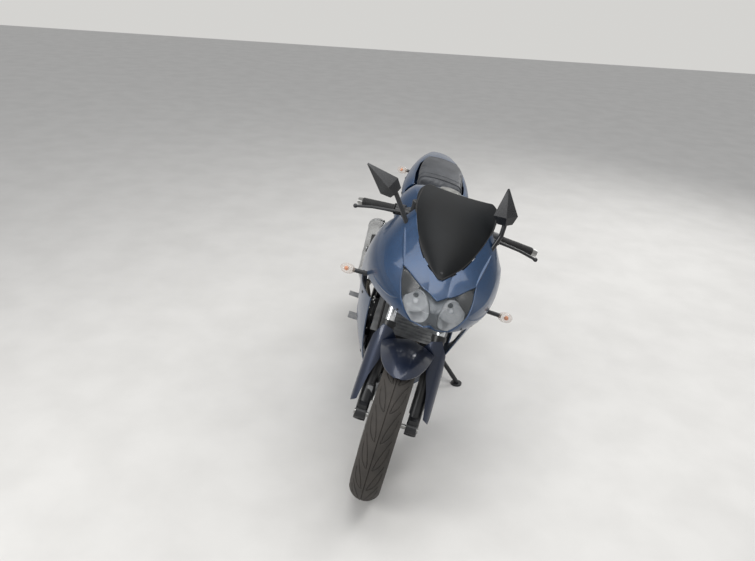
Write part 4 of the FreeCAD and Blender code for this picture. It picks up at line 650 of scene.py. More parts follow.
# %% [markdown]
# Fasteners and other small pieces sit on skins whose exact height isn't known beforehand. They could be set
# by eye, but a ray cast from outside finds the skin and the way it faces, so a screw lies flush wherever it
# is put. The tree of faces that a ray needs is built once for each CAD node.

# %% Finding a place on a skin
SIDES = ((1, "left"), (-1, "right"))
BACKWARDS = (0, 1, 0)            # direction of a ray that starts ahead of the bike
OUTSIDE = 400                    # how far outside the bike a ray starts, in mm
skins = {}


def skin_hit(node, start, way):
    """Point and direction of a CAD skin where a ray meets it, or nothing where the ray passes by."""
    if node not in skins:
        mesh = nodes[node].data
        skins[node] = BVHTree.FromPolygons([corner.co for corner in mesh.vertices],
                                           [face.vertices for face in mesh.polygons])
    return skins[node].ray_cast(start, way)[:2]


def on_skin(node, start, way):
    """Matrix that stands a piece on a CAD skin, met by a ray from a point in mm of the bike frame."""
    ray = (bike.to_3x3() @ Vector(way)).normalized()
    spot, normal = skin_hit(node, bike_frame @ mm(*start), ray)
    if normal.dot(ray) > 0:
        normal = -normal
    return along(normal, spot)


def skin_ahead(node, x, z):
    """Point where a ray from ahead meets a CAD skin, or nothing where the ray passes by."""
    return skin_hit(node, bike_frame @ mm(x, -OUTSIDE, z), bike.to_3x3() @ Vector(BACKWARDS))[0]


cheek = bike_frame.inverted() @ skin_ahead("upper_cowl", 112, 768)
print("beside the lamp the nose lies", round(-cheek.y / MM), "mm ahead of the front axle")

# %% [markdown]
# The bodywork is held by button heads with a socket, and the engine's covers by six-sided heads. A cone whose
# top is inset twice gives either. A short table holds what a fitter would count: which panel, where, and
# how large a head.

# %% Screw heads and rings of them
HEAD_TAPER, HEAD_OUT = 0.88, 0.4                     # shares of a head's radius and of its height
SOCKET_RIM, SOCKET_WALL, SOCKET_DEPTH = 0.4, 0.04, 0.5
HEXAGON = 6


def screw_head(radius, height, sides=24):
    """Button head with a socket, or a hexagon when it has six sides. Sizes are in mm."""
    radius, height = radius * MM, height * MM
    shape = bmesh.new()
    bmesh.ops.create_cone(shape, cap_ends=True, segments=sides, radius1=radius,
                          radius2=radius * HEAD_TAPER, depth=height,
                          matrix=Matrix.Translation((0, 0, height * HEAD_OUT)))
    top = max(shape.faces, key=lambda face: face.calc_center_median().z)
    bmesh.ops.inset_region(shape, faces=[top], thickness=radius * SOCKET_RIM)
    bmesh.ops.inset_region(shape, faces=[top], thickness=radius * SOCKET_WALL,
                           depth=-height * SOCKET_DEPTH)
    return shape


def copies(name, shape, places, body, slot, material):
    """One piece made of the same shape at several places."""
    return piece(name, repeated(shape, places), Matrix(), body, slot, material)


def ring_of(place, count, point):
    """Places of a point in mm, repeated evenly round a place's z axis."""
    return [place @ Matrix.Rotation(math.tau * i / count, 4, "Z") @ Matrix.Translation(mm(*point))
            for i in range(count)]


# %% Screws of the bodywork and the filler cap
# Columns: name, CAD skin, points a ray starts from, head radius and height in mm
FRONT_SCREWS = (("screen_screw", "windscreen", ((0, -60, 893),), 5, 2.2),
                ("nose_screws", "upper_cowl", ((112, -300, 768), (-112, -300, 768)), 4.5, 2.2))
# Columns: name, CAD skin, distance back and height of each screw, head radius and height in mm
SIDE_SCREWS = (("side_screws", "side_cowl_{}",
                ((330, 610), (560, 610), (420, 300), (690, 250), (600, 470)), 6, 2.6),
               ("tail_screws", "tail_cowl", ((1120, 800), (1250, 840), (1480, 880)), 5.5, 2.4),
               ("cover_screws", "frame_covers", ((650, 700), (830, 690)), 5.5, 2.4))


def panel_screws(name, skin, starts, way, radius, height):
    """One piece of like screws on a panel."""
    places = [on_skin(skin, start, way) for start in starts]
    copies(name, screw_head(radius, height), places, "chassis", "black_plastic", satin_black)


for name, skin, starts, radius, height in FRONT_SCREWS:
    panel_screws(name, skin, starts, BACKWARDS, radius, height)
for name, skin, spots, radius, height in SIDE_SCREWS:
    for side, where in SIDES:
        starts = [(side * OUTSIDE, y, z) for y, z in spots]
        panel_screws(f"{name}_{where}", skin.format(where), starts, (-side, 0, 0), radius, height)

CAP_TOP, CAP_SCREWS, CAP_RING_R, CAP_HEAD = (0, 640, 1013.2), 6, 38, 2.4
cap_ring = ring_of(bike_frame @ Matrix.Translation(mm(*CAP_TOP)), CAP_SCREWS, (CAP_RING_R, 0, CAP_HEAD))
copies("cap_screws", screw_head(3.2, CAP_HEAD), cap_ring, "fuel_cap", "alloy", machined_steel)

# %% [markdown]
# The grips are moulded rubber sleeves with a flange and rings to hold on to. Rings could be separate hoops,
# but a real sleeve is one moulding, so one half outline with all its grooves is spun round the bar. Both
# sides share the shape.

# %% Ribbed grips
BAR_INNER, BAR_OUTER = (108, 4, 1074), (338, -58, 1066)      # x, ahead and up, as in the CAD source
GRIP_START = 0.42                                            # share of the bar where the sleeve begins
GRIP_R, BAR_HOLE_R, FLANGE_R, FLANGE = 16.5, 11.8, 21.5, 5
GROOVE_PITCH, GROOVE_DEPTH, GROOVE_FIRST, ENDS_PLAIN = 7.0, 1.6, 9, 12
GROOVE_STEPS = (2.2, 3.2, 0.6)           # ends of a groove's floor and side, and start of the next one's
AXIS = 0.05                              # least radius of a spun outline, in mm, which keeps its pole closed


def bar_point(share, side):
    """A point of a bar's middle line, at a share of its length."""
    x, ahead, rise = [a + (b - a) * share for a, b in zip(BAR_INNER, BAR_OUTER)]
    return fork_point(side * x, ahead, rise)


def spun(profile, steps=40):
    """A closed outline of (radius, height) pairs in mm, turned round z."""
    shape = bmesh.new()
    outline = chain_of(shape, [mm(r, 0, z) for r, z in profile])
    outline.append(shape.edges.new((outline[len(profile) - 1], outline[0])))
    bmesh.ops.spin(shape, geom=outline, cent=(0, 0, 0), axis=(0, 0, 1), angle=math.tau, steps=steps)
    bmesh.ops.remove_doubles(shape, verts=shape.verts, dist=1e-6)
    return shape


grip_run = (bar_point(1, 1) - bar_point(GRIP_START, 1)).length / MM
floor_end, side_end, lip = GROOVE_STEPS
grip_outline = [(BAR_HOLE_R, 0), (FLANGE_R, 0), (FLANGE_R, FLANGE), (GRIP_R, FLANGE + 1.5)]
for i in range(int((grip_run - ENDS_PLAIN) / GROOVE_PITCH)):
    low = GROOVE_FIRST + i * GROOVE_PITCH
    grip_outline += [(GRIP_R - GROOVE_DEPTH, low), (GRIP_R - GROOVE_DEPTH, low + floor_end),
                     (GRIP_R, low + side_end), (GRIP_R, low + GROOVE_PITCH - lip)]
grip_outline += [(GRIP_R - 0.5, grip_run), (BAR_HOLE_R, grip_run)]
grip_places = [fork_frame @ along(bar_point(1, side) - bar_point(GRIP_START, side),
                                  bar_point(GRIP_START, side)) for side, _ in SIDES]
grips = copies("ribbed_grips", spun(grip_outline), grip_places, "steering", "rubber", rubber)
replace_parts(grips, "grips")
print("each grip is", round(grip_run), "mm long")

# %% [markdown]
# A roller chain is one pair of links repeated along the loop round both sprockets. The CAD chain gives the
# loop. The pitch is the common 15.875 mm, stretched a little so that a whole number of pairs closes it.

# %% The chain's loop
CHAIN_PITCH, CHAIN_X = 15.875, 81.0
DRIVE, REAR = (762.0, 395.0, 50.0), (1400.0, 307.0, 124.0)       # y, z and pitch radius of each sprocket

gap_y, gap_z = REAR[0] - DRIVE[0], REAR[1] - DRIVE[1]
gap = math.hypot(gap_y, gap_z)
base = math.atan2(gap_z, gap_y)
swing = math.acos((DRIVE[2] - REAR[2]) / gap)
straight = math.sqrt(gap ** 2 - (REAR[2] - DRIVE[2]) ** 2)
# Columns: sprocket, angle where the stretch begins, its length, whether it goes round the sprocket
STRETCHES = ((DRIVE, base + swing, straight, False), (REAR, base + swing, REAR[2] * 2 * swing, True),
             (REAR, base - swing, straight, False),
             (DRIVE, base - swing, DRIVE[2] * (math.tau - 2 * swing), True))
loop = sum(length for _, _, length, _ in STRETCHES)
link_count = 2 * round(loop / CHAIN_PITCH / 2)


def on_loop(run):
    """Point and direction (y, z, angle) at a distance along the loop, from the drive sprocket's top."""
    for (y, z, radius), angle, length, curved in STRETCHES:
        if run < length:
            break
        run -= length
    if curved:
        angle, run = angle - run / radius, 0
    return (y + radius * math.cos(angle) + run * math.sin(angle),
            z + radius * math.sin(angle) - run * math.cos(angle), angle - math.pi / 2)


print("the loop is", round(loop), "mm long and has", link_count, "links")

# %% Chain links
PLATE_R, PLATE_THICK, PLATE_SWEEP, PLATE_STEPS = 6.5, 1.6, 110, 8
CHAIN_HALF, ROLLER_R = 8.0, 4.6
QUARTER_TURN = Matrix.Rotation(math.pi / 2, 4, "Y")


def plate(shape, outline, way):
    """Adds a flat outline of points, given its thickness along a vector."""
    face = shape.faces.new([shape.verts.new(point) for point in outline])
    grown = bmesh.ops.extrude_face_region(shape, geom=[face])["geom"]
    bmesh.ops.translate(shape, vec=way,
                        verts=[item for item in grown if isinstance(item, bmesh.types.BMVert)])


def link(inset):
    """Two side plates shaped like a figure eight, with their roller, centred on the origin."""
    half = CHAIN_PITCH / 2
    turns = [math.radians(PLATE_SWEEP * (2 * i / PLATE_STEPS - 1)) for i in range(PLATE_STEPS + 1)]
    end = [(half + PLATE_R * math.cos(a), PLATE_R * math.sin(a)) for a in turns]
    shape = bmesh.new()
    for side, _ in SIDES:
        x = side * (CHAIN_HALF - inset) - PLATE_THICK / 2
        plate(shape, [mm(x, y, z) for y, z in end] + [mm(x, -y, -z) for y, z in end],
              mm(PLATE_THICK, 0, 0))
    bmesh.ops.create_cone(shape, cap_ends=True, segments=12, radius1=ROLLER_R * MM,
                          radius2=ROLLER_R * MM, depth=2 * (CHAIN_HALF - inset) * MM,
                          matrix=Matrix.Translation(mm(0, -half, 0)) @ QUARTER_TURN)
    return shape


def links(name, first, inset):
    """Every second link of the loop."""
    places = []
    for i in range(first, link_count, 2):
        y, z, turn = on_loop((i + 0.5) * loop / link_count)
        places.append(bike_frame @ Matrix.Translation(mm(CHAIN_X, y, z)) @ Matrix.Rotation(turn, 4, "X"))
    return copies(name, link(inset), places, "chassis", "steel", dark_steel)


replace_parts(links("outer_links", 0, 0.8), "chain")
links("inner_links", 1, 2.8)

# %% [markdown]
# The headlamp has two bright reflectors behind one clear lens, and black corners above them. The corners
# could be painted on the lens, but on the real lamp they are a dark trim behind it, so they are cut out of a
# copy of the lens and set just inside. A bead of body colour, laid on the cowl by rays, frames the opening.

# %% Headlamp corners, bead and bulbs
LENS_EDGE = ((0, 845), (131, 873), (127, 846), (112, 812), (90, 786), (47, 752), (0, 779))   # x, z
LENS_HEART = (66, 812)                    # the point that a half of the lens is grown from
LAMP_X, LAMP_Z = 62, 806
CORNER_CUTS = ((62, 858, 0.60, 0.80), (30, 800, 1, 0))     # x and z, and the direction that is kept
CORNER_BEHIND, BEAD_OUT, BEAD_R, BEAD_STEP = 4.4, 3.4, 2.6, 6.0


def lens_corner(side):
    """The part of the lens above and outside a reflector, moved in behind the lens."""
    shape = bmesh.new()
    shape.from_mesh(nodes["headlamp_lens"].data)
    shape.transform(bike_frame.inverted())
    for x, z, away, rise in CORNER_CUTS:
        bmesh.ops.bisect_plane(shape, geom=shape.verts[:] + shape.edges[:] + shape.faces[:],
                               plane_co=mm(side * x, 0, z), plane_no=Vector((side * away, 0, rise)),
                               clear_inner=True)
    bmesh.ops.holes_fill(shape, edges=[edge for edge in shape.edges if edge.is_boundary])
    bmesh.ops.translate(shape, verts=shape.verts, vec=mm(0, CORNER_BEHIND, 0))
    return shape


def round_opening():
    """Points on the cowl all the way round the headlamp opening, a little outside its edge."""
    half = []
    for x, z in LENS_EDGE:
        out_x, out_z = x - LENS_HEART[0], z - LENS_HEART[1]
        grow = BEAD_OUT / math.hypot(out_x, out_z)
        half.append((x + (0 if x == 0 else out_x * grow), z + out_z * grow))
    outline = half + [(-x, z) for x, z in reversed(half[1:-1])]
    points = []
    for (x0, z0), (x1, z1) in zip(outline, outline[1:] + outline[:1]):
        count = max(1, round(math.hypot(x1 - x0, z1 - z0) / BEAD_STEP))
        for i in range(count):
            spot = skin_ahead("upper_cowl", x0 + (x1 - x0) * i / count, z0 + (z1 - z0) * i / count)
            if spot:
                points.append(spot)
    return points + points[:1]


def lamp_places(y):
    """Places on both lamps' middle lines, their z axis forwards."""
    return [bike_frame @ along(Vector((0, -1, 0)), mm(side * LAMP_X, y, LAMP_Z)) for side, _ in SIDES]


for side, where in SIDES:
    piece("lamp_corner_" + where, lens_corner(side), bike_frame, "chassis", "black_plastic",
          gloss_black)
piece("headlamp_bead", tube(round_opening(), BEAD_R * MM, smooth=False), Matrix(), "chassis",
      "blue_paint", blue_paint)
bulb_cap = spun([(AXIS, -3), (8, -3), (9.4, 0), (9.4, 6), (7, 9.5), (AXIS, 10.5)], 24)
copies("bulb_caps", bulb_cap, lamp_places(-14), "chassis", "chrome", aluminised)

# %% [markdown]
# Two creases leave the lamp on each side of the nose, one up from its tip and one outwards from its corner.
# On the real cowl they are moulded in the skin. Here each is a low ridge laid on it: a row of points found
# by rays, with a foot sunk in the skin on either side and a crest between them.

# %% Creases of the nose
# Columns: name, x and z of the points that the crest passes
CREASES = (("upper", ((131, 876), (139, 896), (147, 920), (155, 946), (161, 968))),
           ("cheek", ((122, 806), (146, 792), (172, 784), (196, 780), (214, 780))))
CREASE_HALF, CREASE_RISE, CREASE_SINK = 9.0, 3.2, 1.5
CREASE_STEPS, CREASE_BLUNT = 4, 0.35                 # steps between points, and how blunt its ends are


def crease_spots(side, knots):
    """Places on the cowl along a crease."""
    spots = []
    for (x0, z0), (x1, z1) in zip(knots, knots[1:]):
        for i in range(CREASE_STEPS):
            share = i / CREASE_STEPS
            spots.append((x0 + (x1 - x0) * share, z0 + (z1 - z0) * share))
    spots.append(knots[-1])
    return [on_skin("upper_cowl", (side * x, -OUTSIDE, z), BACKWARDS) for x, z in spots]


def crease(side, knots):
    """A ridge that swells and fades along its run."""
    spots = crease_spots(side, knots)
    shape = bmesh.new()
    rows = []
    for i, spot in enumerate(spots):
        near, far = spots[max(i - 1, 0)].translation, spots[min(i + 1, len(spots) - 1)].translation
        normal = (spot.to_3x3() @ Vector((0, 0, 1))).normalized()
        across = (far - near).cross(normal).normalized()
        share = (i + CREASE_BLUNT) / (len(spots) - 1 + 2 * CREASE_BLUNT)
        size = math.sin(math.pi * share) ** 0.5 * MM
        foot = spot.translation - normal * CREASE_SINK * MM
        rows.append([shape.verts.new(foot + across * size * CREASE_HALF),
                     shape.verts.new(spot.translation + normal * size * CREASE_RISE),
                     shape.verts.new(foot - across * size * CREASE_HALF)])
    for one, two in zip(rows, rows[1:]):
        for i in range(3):
            shape.faces.new((one[i], one[i - 1], two[i - 1], two[i]))
    shape.faces.new(rows[0])
    shape.faces.new(rows[-1])
    return shape


for name, knots in CREASES:
    for side, where in SIDES:
        piece(f"crease_{name}_{where}", crease(side, knots), Matrix(), "chassis", "blue_paint",
              blue_paint)

# %% [markdown]
# The turn signals have clear lenses, so their bulbs are lacquered amber. Each is a ball in the middle of its
# lens, which reads as an orange glow in the middle of a pale lamp.

# %% Bulbs of the turn signals
SIGNAL_LAMPS = ((308, 228, 732), (176, 1620, 774))       # ends of the front and rear stalks
BULB_R, BULB_OUT = 8.5, 5
bulb = bmesh.new()
bmesh.ops.create_uvsphere(bulb, u_segments=20, v_segments=12, radius=BULB_R * MM)
lamps = [bike_frame @ Matrix.Translation(mm(side * (x + BULB_OUT), y, z)) for x, y, z in SIGNAL_LAMPS
         for side, _ in SIDES]
copies("amber_bulbs", bulb, lamps, "chassis", "clear", amber_bulb)

# %% [markdown]
# The screen is clamped to the cowl through a rubber gasket. The CAD source gives the screen's edge as a few
# stations, so the gasket is one round cord through the same stations, down one side and up the other.

# %% Gasket of the screen
# Columns: height, half width and distance back of the screen's edge
SCREEN_EDGE = ((1098, 136, 286), (1060, 147, 253), (1030, 141, 228), (1000, 128, 200), (970, 113, 172),
               (942, 93, 143), (915, 70, 112), (895, 39, 82), (876, 8, 51))
SCREEN_TIP, GASKET_R, GASKET_SHIFT = (0, 47, 870), 4.2, (0, 3, -1)

edge = [mm(x, y, z) for z, x, y in SCREEN_EDGE]
edge += [mm(*SCREEN_TIP)] + [Vector((-p.x, p.y, p.z)) for p in reversed(edge)]
gasket = tube([p + mm(*GASKET_SHIFT) for p in edge], GASKET_R * MM)
piece("screen_gasket", gasket, bike_frame, "chassis", "rubber", rubber)

# %% [markdown]
# The mirrors are folded up in the photo. Each glass is a thin kite that stands in a bezel on the back of its
# shell. A kite is drawn from four rows across the line between the mirror's root and its tip.

# %% Mirror glasses
# Columns: side, root and tip of a shell's middle line, as in the CAD source
MIRRORS = (("right", (-228, 226, 1064), (-352, 232, 1132)),
           ("left", (170, 218, 1078), (136, 222, 1202)))
KITE_ROWS = ((0.05, 27), (0.24, 37), (0.6, 20), (0.9, 6))       # share of the length, half height
# Columns: name, inset from the shell's edge, front and back of the layer, slot, finish
MIRROR_LAYERS = (("mirror_bezel_", 0, -1, 5.2, "black_plastic", gloss_black),
                 ("mirror_glass_", 2.5, 4.6, 5.8, "chrome", mirror_glass))


def kite(root, tip, inset, front, back_face):
    """A flat kite between two distances behind the mirror's middle line."""
    root, tip = mm(*root), mm(*tip)
    way = tip - root
    across = Vector((way.x, 0, way.z)).normalized().cross(Vector((0, 1, 0)))
    rows = [(root + way * share, across * (half - inset) * MM) for share, half in KITE_ROWS]
    outline = [mid + wide for mid, wide in rows] + [mid - wide for mid, wide in reversed(rows)]
    shape = bmesh.new()
    plate(shape, [point + mm(0, front, 0) for point in outline], mm(0, back_face - front, 0))
    return shape


for where, root, tip in MIRRORS:
    for name, inset, front, back_face, slot, material in MIRROR_LAYERS:
        piece(name + where, kite(root, tip, inset, front, back_face), bike_frame, "chassis", slot,
              material)

# %% [markdown]
# The instruments face the rider: a rev counter in the middle with a gauge on each side. A printed scale
# would need a picture, so its strokes are thin slabs on a spun face, with no figures, under a bright bezel
# and an orange hand.

# %% Dials
DIAL_WAY = Vector((0, 9, -2.4)).normalized()             # direction that the panel faces
DIAL_Y, DIAL_Z, PANEL_HALF = 203, 906, 9.31
# Columns: name, x, radius of the bezel and number of gaps between the strokes
DIALS = (("rev_counter", 0, 36, 24), ("left_gauge", 66, 26, 16), ("right_gauge", -66, 26, 16))
SCALE_SWEEP, HAND_TURN = 240, 112                        # degrees
STROKE, STROKE_LIFT = (0.9, 5, 0.4), 0.9
HAND_WIDTH, HAND_THICK, HAND_LIFT = 0.9, 0.6, 1.6
HAND_LENGTH, HAND_SHIFT = 0.8, 0.28                      # shares of the bezel's radius


def dial_frame(x, lift=0.0):
    """Matrix of a dial's face: z out towards the rider, x to the left."""
    middle = mm(x, DIAL_Y, DIAL_Z) + DIAL_WAY * (PANEL_HALF + lift) * MM
    rise = Vector((1, 0, 0)).cross(DIAL_WAY)
    turn = Matrix((Vector((1, 0, 0)), -rise, DIAL_WAY)).transposed().to_4x4()
    return bike_frame @ Matrix.Translation(middle) @ turn


def slab(length, width, thick):
    """A block in mm, centred on the origin."""
    shape = bmesh.new()
    bmesh.ops.create_cube(shape, size=1.0, matrix=Matrix.Diagonal((length, width, thick, 1 / MM)) * MM)
    return shape


for name, x, radius, gaps in DIALS:
    face = spun([(AXIS, 0), (radius - 2, 0), (radius - 2, 0.8), (AXIS, 0.8)], 48)
    piece(name + "_face", face, dial_frame(x), "chassis", "black_plastic", dial_black)
    bezel = spun([(radius - 3, 0), (radius, 0), (radius, 3), (radius - 1, 4), (radius - 3, 2.4)], 48)
    piece(name + "_bezel", bezel, dial_frame(x), "chassis", "chrome", brushed)
    turns = [math.radians(SCALE_SWEEP * (i / gaps - 0.5)) for i in range(gaps + 1)]
    strokes = [dial_frame(x, STROKE_LIFT) @ Matrix.Rotation(a, 4, "Z")
               @ Matrix.Translation(mm(0, radius - 7, 0)) for a in turns]
    copies(name + "_scale", slab(*STROKE), strokes, "chassis", "black_plastic", dial_white)
    hand = slab(HAND_WIDTH, radius * HAND_LENGTH, HAND_THICK)
    bmesh.ops.translate(hand, verts=hand.verts, vec=mm(0, radius * HAND_SHIFT, HAND_LIFT))
    bmesh.ops.create_cone(hand, cap_ends=True, segments=20, radius1=2.6 * MM, radius2=2.2 * MM,
                          depth=2 * MM, matrix=Matrix.Translation(mm(0, 0, HAND_LIFT)))
    piece(name + "_hand", hand, dial_frame(x) @ Matrix.Rotation(math.radians(HAND_TURN), 4, "Z"),
          "chassis", "black_plastic", dial_orange)

# %% [markdown]
# The two reflectors are bowls with small pillow-shaped facets, which break the light into sparkles. A bowl is
# spun, then alternate corners are pushed in and out by a fraction of a millimetre.

# %% Headlamp reflectors
BOWL_ROWS = ((9.5, 36), (15, 33), (21, 28), (27, 21), (33, 12), (38, 2), (41, -9))   # radius, depth
BOWL_FACETS, PILLOW, BOWL_WALL, BOWL_Y = 28, 0.7, 0.8, -10


def reflector():
    """A faceted bowl whose axis is z, open at its top."""
    shape = bmesh.new()
    outline = chain_of(shape, [mm(r, 0, -depth) for r, depth in BOWL_ROWS])
    bmesh.ops.spin(shape, geom=outline, cent=(0, 0, 0), axis=(0, 0, 1), angle=math.tau,
                   steps=BOWL_FACETS)
    bmesh.ops.remove_doubles(shape, verts=shape.verts, dist=1e-6)
    for corner in shape.verts:
        row = min(range(len(BOWL_ROWS)), key=lambda i: abs(BOWL_ROWS[i][1] * MM + corner.co.z))
        step = round(math.atan2(corner.co.y, corner.co.x) / math.tau * BOWL_FACETS)
        if 0 < row < len(BOWL_ROWS) - 1:
            corner.co.z += PILLOW * MM * (1 if (row + step) % 2 else -1)
    bmesh.ops.solidify(shape, geom=shape.faces[:], thickness=BOWL_WALL * MM)
    return shape


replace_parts(copies("reflectors", reflector(), lamp_places(BOWL_Y), "chassis", "chrome", aluminised),
            "headlamp_bowls")

# %% [markdown]
# The rear shock is a damper inside a coil spring. The coil is a helix with its last turns closed against the
# spring seats, drawn as a round wire along points worked out by a loop. The damper is one spun outline.

# %% Rear shock
SHOCK_LOW, SHOCK_HIGH = (0, 938, 402), (0, 884, 688)     # the two eyes, as in the CAD source
COIL_FOOT, COIL_HEAD, COIL_TURNS, COIL_R, WIRE_R = 63.0, 49, 8, 27.0, 5.8
CLOSED_TURNS, TURN_STEPS = 0.8, 16


def line_frame(low, high):
    """Matrix with z along the line between two points in mm of the bike frame, and its length in mm."""
    run = mm(*high) - mm(*low)
    return bike_frame @ along(run.normalized(), mm(*low)), run.length / MM


def coil_points(rise):
    """Points of the spring's wire, from its foot up by a rise in mm."""
    points = []
    for i in range(COIL_TURNS * TURN_STEPS + 1):
        turn = i / TURN_STEPS
        share = min(max((turn - CLOSED_TURNS) / (COIL_TURNS - 2 * CLOSED_TURNS), 0), 1)
        a = math.tau * turn
        points.append(mm(COIL_R * math.cos(a), COIL_R * math.sin(a), COIL_FOOT + share * rise))
    return points


shock_place, shock_long = line_frame(SHOCK_LOW, SHOCK_HIGH)
damper = [(AXIS, 12), (15, 12), (15, 48), (33, 48), (33, 56), (20, 58), (20, 150), (7, 152)]
damper += [(r, shock_long - down) for r, down in
           ((7, 60), (20, 58), (20, 43), (33, 42), (33, 34), (15, 33), (15, 12), (AXIS, 12))]
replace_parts(piece("shock_damper", spun(damper, 32), shock_place, "chassis", "steel", satin_black),
            "rear_shock")
coil = tube(coil_points(shock_long - COIL_HEAD - COIL_FOOT), WIRE_R * MM)
piece("shock_spring", coil, shock_place, "chassis", "steel", spring_enamel)
eye = spun([(7, -16), (15, -16), (15, 16), (7, 16)], 28)
eyes = [bike_frame @ along(Vector((1, 0, 0)), mm(*point)) for point in (SHOCK_LOW, SHOCK_HIGH)]
copies("shock_eyes", eye, eyes, "chassis", "steel", machined_steel)
print("the shock is", round(shock_long), "mm long between its eyes")

# %% [markdown]
# A number plate is pressed from thin aluminium with rounded corners. This one is left blank. It lies on the
# sloping holder, so its direction is worked out from the two ends of the holder.

# %% Blank plate
HOLDER_TOP, HOLDER_FOOT = (0, 1700, 760), (0, 1776, 606)
PLATE_DOWN, PLATE_OUT, PLATE_SIZE, PLATE_CORNER = 92, 6.6, (164, 104, 1.0), 8
CORNER_STEPS = 6


def rounded_plate(width, height, thick, corner):
    """A flat plate with rounded corners, centred on the origin, its thickness along z."""
    outline = []
    for sx, sy, start in ((1, 1, 0), (-1, 1, 90), (-1, -1, 180), (1, -1, 270)):
        for i in range(CORNER_STEPS + 1):
            a = math.radians(start + 90 * i / CORNER_STEPS)
            outline.append(mm(sx * (width / 2 - corner) + corner * math.cos(a),
                              sy * (height / 2 - corner) + corner * math.sin(a), 0))
    shape = bmesh.new()
    plate(shape, outline, mm(0, 0, thick))
    return shape


plate_way = (mm(*HOLDER_FOOT) - mm(*HOLDER_TOP)).normalized()
plate_out = Vector((1, 0, 0)).cross(plate_way)
plate_turn = Matrix((Vector((1, 0, 0)), -plate_way, -plate_out)).transposed().to_4x4()
plate_middle = mm(*HOLDER_TOP) + plate_way * PLATE_DOWN * MM + plate_out * PLATE_OUT * MM
piece("blank_plate", rounded_plate(*PLATE_SIZE, PLATE_CORNER),
      bike_frame @ Matrix.Translation(plate_middle) @ plate_turn, "chassis", "alloy", plate_white)

# %% [markdown]
# The muffler is a brushed drum. Two clamping bands, a ring of rivets that hold its end cap and a dark tip
# give it its scale. They are spun or repeated round the drum's own axis.

# %% Muffler tip, rivets and bands
MUFFLER_LOW, MUFFLER_HIGH = (-196, 985, 330), (-212, 1452, 490)    # ends of the drum's axis
RIVETS, RIVET_RING_R, RIVET_BACK = 10, 54, 24
BANDS = (("front", 96), ("middle", 230))                 # distance of each band from the drum's front
BAND_OUTLINE = ((51, 0), (52.4, 0), (53.2, 1.5), (53.2, 9), (52.4, 10.5), (51, 10.5))
TIP_OUTLINE = ((13, -38), (16.6, -38), (16.6, 1), (20, 1), (20, 3), (13, 3))

muffler_place, drum_long = line_frame(MUFFLER_LOW, MUFFLER_HIGH)
piece("muffler_tip", spun([(r, drum_long + z) for r, z in TIP_OUTLINE], 32), muffler_place, "chassis",
      "steel", dark_steel)
rivets = [place @ QUARTER_TURN
          for place in ring_of(muffler_place, RIVETS, (RIVET_RING_R, 0, drum_long - RIVET_BACK))]
copies("muffler_rivets", screw_head(2.6, 1.6), rivets, "chassis", "steel", brushed)
for name, low in BANDS:
    piece("muffler_band_" + name, spun([(r, low + z) for r, z in BAND_OUTLINE], 56), muffler_place,
          "chassis", "steel", machined_steel)

# %% [markdown]
# The engine's side covers are held by hexagon bolts round their rims, and each brake disc by button bolts on
# its carrier. Rays find the cover or carrier that each one sits on.

# %% Bolts of the engine covers and the discs
COVERS = ((1, 600, 370, 82), (-1, 600, 375, 86), (-1, 715, 350, 62))       # side, y, z, radius
COVER_BOLTS, RIM_INSET, COVER_START, DISC_BOLTS, DISC_START = 8, 4, 0.3, 5, 0.25
heads = []
for side, y, z, radius in COVERS:
    for i in range(COVER_BOLTS):
        a = math.tau * (i + COVER_START) / COVER_BOLTS
        reach = radius - RIM_INSET
        start = (side * OUTSIDE, y + reach * math.cos(a), z + reach * math.sin(a))
        heads.append(on_skin("engine", start, (-side, 0, 0)))
copies("engine_cover_bolts", screw_head(4.6, 4, HEXAGON), heads, "chassis", "alloy", machined_steel)

# Columns: piece, CAD disc, frame, the axle's y and z in it, radius of the ring of bolts, body
DISCS = (("front_disc_bolts", "front_disc", fork_frame, 0, 293, 34, "front_wheel"),
         ("rear_disc_bolts", "rear_disc", bike_frame, 1400, 307, 36, "rear_wheel"))
for name, disc, place, y, z, ring_r, body in DISCS:
    inwards = (place.to_3x3() @ Vector((1, 0, 0))).normalized()
    heads = []
    for i in range(DISC_BOLTS):
        a = math.tau * (i + DISC_START) / DISC_BOLTS
        start = place @ mm(-300, y + ring_r * math.cos(a), z + ring_r * math.sin(a))
        spot = skin_hit(disc, start, inwards)[0]
        if spot:
            heads.append(along(-inwards, spot))
    copies(name, screw_head(4.8, 3), heads, body, "steel", dark_steel)

# %% [markdown]
# A bright shroud leads from each reflector's rim forward to the lens, and hides the lamp's dark inside. It is
# a ring of quads: its back edge lies on the rim, and its front edge follows the lens, found by rays.

# %% Bright shrouds from the reflectors to the lens
SHROUD_STEPS, SHROUD_BACK_R, SHROUD_FRONT_R = 36, 41.2, 45.0
SHROUD_BACK_Y, SHROUD_LEAST_Y, LENS_ROOM, LENS_MISSED_Y = -19.0, -24.0, 10, -30.0


def shroud_y(x, z):
    """How far forward the shroud reaches before it would touch the lens or the cowl."""
    spot = skin_ahead("headlamp_lens", x, z) or skin_ahead("upper_cowl", x, z)
    if not spot:
        return LENS_MISSED_Y
    return min(SHROUD_LEAST_Y, (bike_frame.inverted() @ spot).y / MM + LENS_ROOM)


def round_lamp(side, radius):
    """Points (x, z) of a circle round a lamp's middle line."""
    turns = [math.tau * i / SHROUD_STEPS for i in range(SHROUD_STEPS)]
    return [(side * LAMP_X + radius * math.cos(a), LAMP_Z + radius * math.sin(a)) for a in turns]


